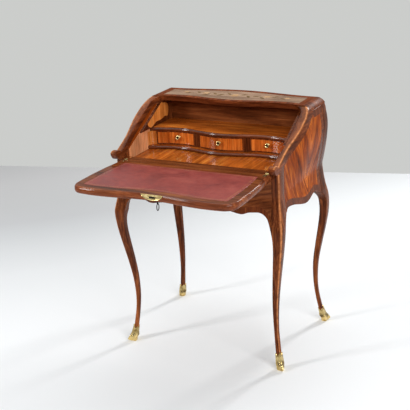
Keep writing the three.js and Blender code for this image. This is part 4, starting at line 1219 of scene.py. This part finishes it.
# Its rounded edge, as inset and depth, and the insets where a gilt line starts and ends
LEATHER_EDGE = [(0, 0.6), (0.3, 0.2), (1, 0)]
TOOLING = [7.5, 8.4, 10.6, 11.1]
GILT_ROWS = (4, 6)
LEATHER_RED = ((0.15, 0.014, 0.012), (0.25, 0.03, 0.022), (0.33, 0.06, 0.042))
LEATHER_GILT = (0.5, 0.3, 0.1)


def leather_panel(low, top):
    levels = [(0, low)] + [(inset, top - depth) for inset, depth in LEATHER_EDGE]
    rings = []
    for inset, z in levels + [(inset, top) for inset in TOOLING]:
        rings.append(level(fall_outline(LEATHER_MARGIN + inset, LEATHER_BACK + inset), z))
    return Shape().loft(rings, kind=lambda i, j: 1 if i in GILT_ROWS else 0)


def tooled_leather(gilding):
    n = material("gilt tooling" if gilding else "red leather")
    base = n.place()
    clouds = n.noise(base, 9.0, 6.0, 0.62, 0.4)
    spots = n.noise(base, 60.0, 4.0, 0.6)
    dark, middle, light = LEATHER_RED
    cloudy = n.ramp(clouds, [(0.34, dark), (0.52, middle), (0.72, light)])
    colour = n.mix(0.3, cloudy, n.ramp(spots, [(0.36, dark), (0.66, light)]))
    grain = n.add("TexVoronoi", {"Vector": base, "Scale": 900.0}).outputs["Distance"]
    bump = n.bump(grain, 0.25, 0.0003)
    rough = n.spread(clouds, 0.3, 0.7, 0.3, 0.42)
    if not gilding:
        return n.surface(Base_Color=colour, Roughness=rough, Normal=bump, Specular_IOR_Level=0.3)
    rubbed = n.math("GREATER_THAN", n.noise(base, 240.0, 3.0, 0.5), 0.42)
    colour = n.mix(rubbed, colour, LEATHER_GILT)
    metallic = n.math("MULTIPLY", rubbed, 0.8)
    return n.surface(Base_Color=colour, Metallic=metallic, Roughness=rough, Normal=bump)


skins = [tooled_leather(False), tooled_leather(True)]
low, high = box_of("writing_leather")
panel = leather_panel(low.z, high.z)
piece("tooled_leather", panel, skins, "writing_leather", "fall_front")

# Key

key_low, key_high = box_of("key")
BOW_TALL = 13
BOW_HALF = 9
KEY_Y = key_low.y + BOW_HALF
KEY_X = (key_low.x + key_high.x) / 2
BOW_WIRE = 1.7
BOW_FLAT = 0.9
BIT_HALF, BIT_TALL, BIT_DOWN = 1, 3.5, 0.2
BOW_SIDES, WIRE_SIDES, SHANK_SIDES = 40, 12, 20
# The key's shank from its bow up to its bit: share of its length, and radius
SHANK = [
    (0, 2.3), (0.03, 3.1), (0.06, 3.3), (0.09, 2.7), (0.12, 2.1), (0.16, 2.9), (0.19, 2.9),
    (0.22, 2.2), (0.26, 2.1), (1, 2.1),
]


def key():
    bow_z = key_low.z + BOW_TALL
    rings = []
    for a in circle(BOW_SIDES):
        ring = []
        for b in circle(WIRE_SIDES):
            out = BOW_WIRE * (cos(b) - 1)
            y, z = KEY_Y + (BOW_HALF + out) * cos(a), bow_z + (BOW_TALL + out) * sin(a)
            ring.append((KEY_X + BOW_WIRE * BOW_FLAT * sin(b), y, z))
        rings.append(ring)
    shape = Shape().grid([*rings, rings[0]], closed=True)
    start, end = key_low.z + 2 * BOW_TALL - BOW_WIRE, key_high.z
    shaft = []
    for share, radius in SHANK:
        around = circle(SHANK_SIDES)
        around = [(KEY_X + radius * cos(a), KEY_Y + radius * sin(a)) for a in around]
        shaft.append(level(around, lerp(start, end, share)))
    shape.loft(shaft)
    low, high = end - BIT_TALL, end - BIT_DOWN
    return shape.loft(block(KEY_X - BIT_HALF, KEY_X + BIT_HALF, KEY_Y + 1, key_high.y, low, high))


piece("key_forged", key(), [steel], "key", "lock_key")

# Sabots: a cast shoe whose leafy collar rises to points, with a volute on each side

SABOT_HEIGHT = 68
SABOT_WALL = 2
TOE = 13
# Up the sabot: how far its wall stands off the leg, and how much of the toe shows
SABOT_FORM = [
    (0, 0.7, 0.3), (0.05, 1.2, 0.7), (0.13, 1.6, 1), (0.22, 1.8, 0.85), (0.34, 2.4, 0.4),
    (0.48, 2.1, 0.18), (0.7, 1.5, 0.06), (1, 1, 0),
]
wall_at, toe_at = readings(SABOT_FORM)
SABOT_SIDES = 96
SABOT_LEVELS = 44
ARRIS_STEP = 4
THINNEST = 0.5
RIM_DROP = 0.4
COLLAR_DIP = 17
MAIN_POINT = 0.09
SIDE_POINT = 0.62
LEAF_START, LEAF_FULL = 0.42, 0.6
VEINS = 26
VEIN_LEAN = 2.4
SUNK = 0.3
VOLUTE_AT = 0.075
VOLUTE_HEIGHT = 25
VOLUTE_SIZE = 8.5
VOLUTE_TURNS = 1.3
VOLUTE_RELIEF = 2.6
LEAF_RELIEF = 1.3


def bell(x, wide):
    return exp(-((x / wide) ** 2))


def leg_point(bounds, z, grow, u):
    """A point of the leg's outline at a height, grown, a share u of the way round from its
    outer arris, and the leg's width."""
    ring, side = leg_section(bounds, max(z, FOOT_BOTTOM), grow, 2 * ARRIS_STEP)
    ring = ring[ARRIS_STEP:] + ring[: ARRIS_STEP + 1]
    lengths = [0.0]
    for (ax, ay), (bx, by) in zip(ring, ring[1:]):
        lengths.append(lengths[-1] + hypot(bx - ax, by - ay))
    x, y = (from_table(list(zip(lengths, values)), u * lengths[-1]) for values in zip(*ring))
    return x, y, side


def sabot_point(bounds, u, v):
    """The sabot's point at shares u round and v up, and how much painted shade it takes."""
    off = min(u, 1 - u)
    collar = max(bell(off, MAIN_POINT), SIDE_POINT * abs(cos(4 * pi * off)) ** 1.6)
    top = SABOT_HEIGHT - COLLAR_DIP * (1 - collar)
    z = v * top
    leaf = smoothstep(v, LEAF_START, LEAF_FULL)
    rib = bell(off, 0.018) + 0.6 * bell(off - 0.25, 0.02)
    vein = abs(sin(pi * (off * VEINS + VEIN_LEAN * v)))
    grow = GAP + SABOT_WALL * wall_at(z / SABOT_HEIGHT)
    grow += leaf * LEAF_RELIEF * (rib - 0.55 * vein * (1 - v) - 0.35 * (1 - vein))
    x, y, side = leg_point(bounds, z, max(grow, GAP + THINNEST), u)
    across = 4 * side * min(abs(off - VOLUTE_AT), abs(off - 0.5 + VOLUTE_AT))
    near = min(hypot(across, z - VOLUTE_HEIGHT) / VOLUTE_SIZE, 1)
    volute = (0.5 + 0.5 * cos(2 * pi * VOLUTE_TURNS * near)) * (1 - near**3)
    in_x, out_x, in_y, out_y, _ = bounds(max(z, FOOT_BOTTOM))
    dx, dy = x - (in_x + out_x) / 2, y - (in_y + out_y) / 2
    push = VOLUTE_RELIEF * volute / hypot(dx, dy)
    toe = TOE * toe_at(z / SABOT_HEIGHT) * bell(off, 0.055) * sqrt(0.5)
    # Painted shade in the leaves' veins and in the hollow of each volute.
    dark = 0.6 * leaf * vein**2 + (near < 1 and volute < SUNK)
    return x + dx * push + toe, y + dy * push + toe, z, dark


def sabot(bounds, sign_x, sign_y):
    rows, dark = [], {}
    shares = [k / SABOT_SIDES for k in range(SABOT_SIDES)]
    for v in steps(0, 1, SABOT_LEVELS):
        row = [sabot_point(bounds, u, v) for u in shares]
        rows.append([(sign_x * x, sign_y * y, z) for x, y, z, _ in row])
        dark.update(zip(rows[-1], (point[3] / MM for point in row)))
    # Each point's painted shade rides to the material in its place in the veneer.
    shape = Shape().grid(rows, closed=True, place=lambda number, point: (dark[point], 0))
    shape.face(rows[0][::-1])
    rim, foot = [], []
    for u, (_, _, top) in zip(shares, rows[-1]):
        for ring, at, z in ((rim, top, top - RIM_DROP), (foot, FOOT_BOTTOM, FOOT_BOTTOM)):
            x, y, _ = leg_point(bounds, at, GAP, u)
            ring.append((sign_x * x, sign_y * y, z))
    shape.grid([rows[-1], rim, foot], closed=True)
    shape.face(foot)
    return shape


def shaded_cast_brass():
    """Gilt brass darkened as painted shade where the mesh says that it is sunk."""
    n = material("cast brass")
    base = n.place()
    depth = n.part(n.veneer(), "X")
    cloud = n.noise(base, 60.0, 6.0, 0.65)
    colour = n.ramp(cloud, [(0.36, (0.3, 0.19, 0.05)), (0.56, (0.92, 0.7, 0.3))])
    return n.surface(
        Base_Color=n.mix(depth, colour, (0.02, 0.012, 0.005)),
        Metallic=n.math("SUBTRACT", 1.0, n.math("MULTIPLY", depth, 0.5)),
        Roughness=n.math("ADD", 0.17, n.math("MULTIPLY", depth, 0.4)),
        Normal=n.bump(n.noise(base, 900.0, 2.0, 0.5), 0.12, 0.0003),
    )


CAST_SHARP = radians(70)
shaded_sabot_brass = shaded_cast_brass()
for leg, sign_x, sign_y in LEGS:
    shape = sabot(leg_bounds(sign_y < 0), sign_x, sign_y)
    piece(f"sabot_{leg}_cast", shape, [shaded_sabot_brass], f"sabot_{leg}", sharp=CAST_SHARP)

# CAD nodes that are shown as they are

HINGE_EDGE = 0.2
LOCK_EDGE = 0.3


def keep(node, skin, bevel=0.5):
    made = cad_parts[node]
    made.data.materials.clear()
    made.data.materials.append(skin)
    soften(made, bevel)


for node in ("hinge_rail", "fall_board"):
    keep(node, kingwood_x)
keep("carcass_bottom", oak_x)
keep("writing_bed", tulipwood_y)
keep("nest_back", niche_wood)
for side, _ in SIDES:
    for node in ("niche_cheek", "nest_divider"):
        keep(f"{node}_{side}", kingwood_z)
    for node in ("hinge_leaf_fixed", "hinge_leaf_fall", "hinge_pin"):
        keep(f"{node}_{side}", brass, HINGE_EDGE)
for side in ("left", "centre", "right"):
    keep(f"drawer_{side}_box", oak_x)
for node, skin in (("lock_case", steel), ("lock_bolt", steel), ("key_escutcheon", brass)):
    keep(node, skin, LOCK_EDGE)

# Floor, lights and camera

YAW, PITCH, ROLL = radians(27.718), radians(-19.637), radians(-2.902)
FLOOR_NEAR, FLOOR_FAR, FLOOR_SIDE = -9.0, 2.27, 9.0
FAR_SLANT = -0.235


def on_floor(ahead, across):
    """A point of the floor, ahead of and to the right of the desk as the camera sees it."""
    return (*Matrix.Rotation(YAW, 2) @ Vector((across, ahead)), 0.0)


paper_mesh = bpy.data.meshes.new("paper")
corners = [on_floor(FLOOR_NEAR, -FLOOR_SIDE), on_floor(FLOOR_NEAR, FLOOR_SIDE)]
corners += [on_floor(FLOOR_FAR + FAR_SLANT * x, x) for x in (FLOOR_SIDE, -FLOOR_SIDE)]
paper_mesh.from_pydata(corners, [], [(0, 1, 2, 3)])
floor = show("floor", paper_mesh)

PAPER_FALLOFF_SHADE = [
    (0.36, (0.86, 0.88, 0.89)), (0.46, (0.8, 0.82, 0.83)), (0.54, (0.74, 0.76, 0.77)),
    (0.6, (0.7, 0.71, 0.72)), (0.7, (0.72, 0.73, 0.73)), (0.84, (0.78, 0.78, 0.78)),
]
PAPER_SLOPE = 0.74 / 3


def paper():
    """The pale paper: lightest round the desk, and greyer towards its far edge, a painted falloff
    of the light.
    """
    n = material("paper")
    base = n.place()
    far = n.math("SUBTRACT", n.part(base, "Y"), n.part(base, "X"))
    mottle = n.spread(n.noise(base, 1.5, 2.0, 0.5), 0.0, 1.0, -0.02, 0.02)
    far = n.math("ADD", n.math("MULTIPLY", far, PAPER_SLOPE), mottle)
    return n.surface(Base_Color=n.ramp(far, PAPER_FALLOFF_SHADE), Roughness=0.9)


paper_mesh.materials.append(paper())

BACKDROP = (0.6, 0.61, 0.595, 1)
FILL = {"Color": (0.95, 0.97, 1, 1), "Strength": 0.18}
world = bpy.context.scene.world = bpy.data.worlds.new("studio")
n = Nodes(world)
rays = n.add("LightPath").outputs
sees = n.math("MAXIMUM", rays["Is Camera Ray"], rays["Is Glossy Ray"])
sees = n.math("MAXIMUM", sees, rays["Is Transmission Ray"])
fill = n.add("Background", FILL).outputs[0]
seen = n.add("Background", {"Color": BACKDROP}).outputs[0]
n.add("OutputWorld", {"Surface": n.add("MixShader", {0: sees, 1: fill, 2: seen}).outputs[0]})


def soft_light(name, turn, height, far, size, power):
    """An area light that faces the desk, at an angle in degrees round it from +X."""
    data = bpy.data.lights.new(name, "AREA")
    data.shape = "RECTANGLE"
    data.size, data.size_y = size
    data.energy = power
    made = show(name, data)
    place = Vector((far * cos(radians(turn)), far * sin(radians(turn)), height))
    made.location = place
    made.rotation_euler = (LIT - place).to_track_quat("-Z", "Y").to_euler()


LIT = Vector((0, 0, 0.6))
soft_light("back window", 71, 2.3, 3.0, (0.5, 1.2), 55)
soft_light("left window", 226, 2.2, 3.2, (0.5, 1.2), 52)
soft_light("front box", -36, 2.3, 3.4, (2.2, 1.6), 92)
soft_light("ceiling", 120, 3.4, 0.8, (3, 3), 48)

CAMERA = (1.4745, SHIFT * MM - 2.9582, 1.7096)
LENS, SENSOR = 81.21, 36
data = bpy.data.cameras.new("camera")
data.lens, data.sensor_width = LENS, SENSOR
camera = show("camera", data)
camera.matrix_world = Matrix.Translation(CAMERA)
for turn, axis in ((YAW, "Z"), (pi / 2 + PITCH, "X"), (ROLL, "Z")):
    camera.matrix_world @= Matrix.Rotation(turn, 4, axis)
bpy.context.scene.camera = camera
bpy.context.scene.view_settings.view_transform = "Standard"
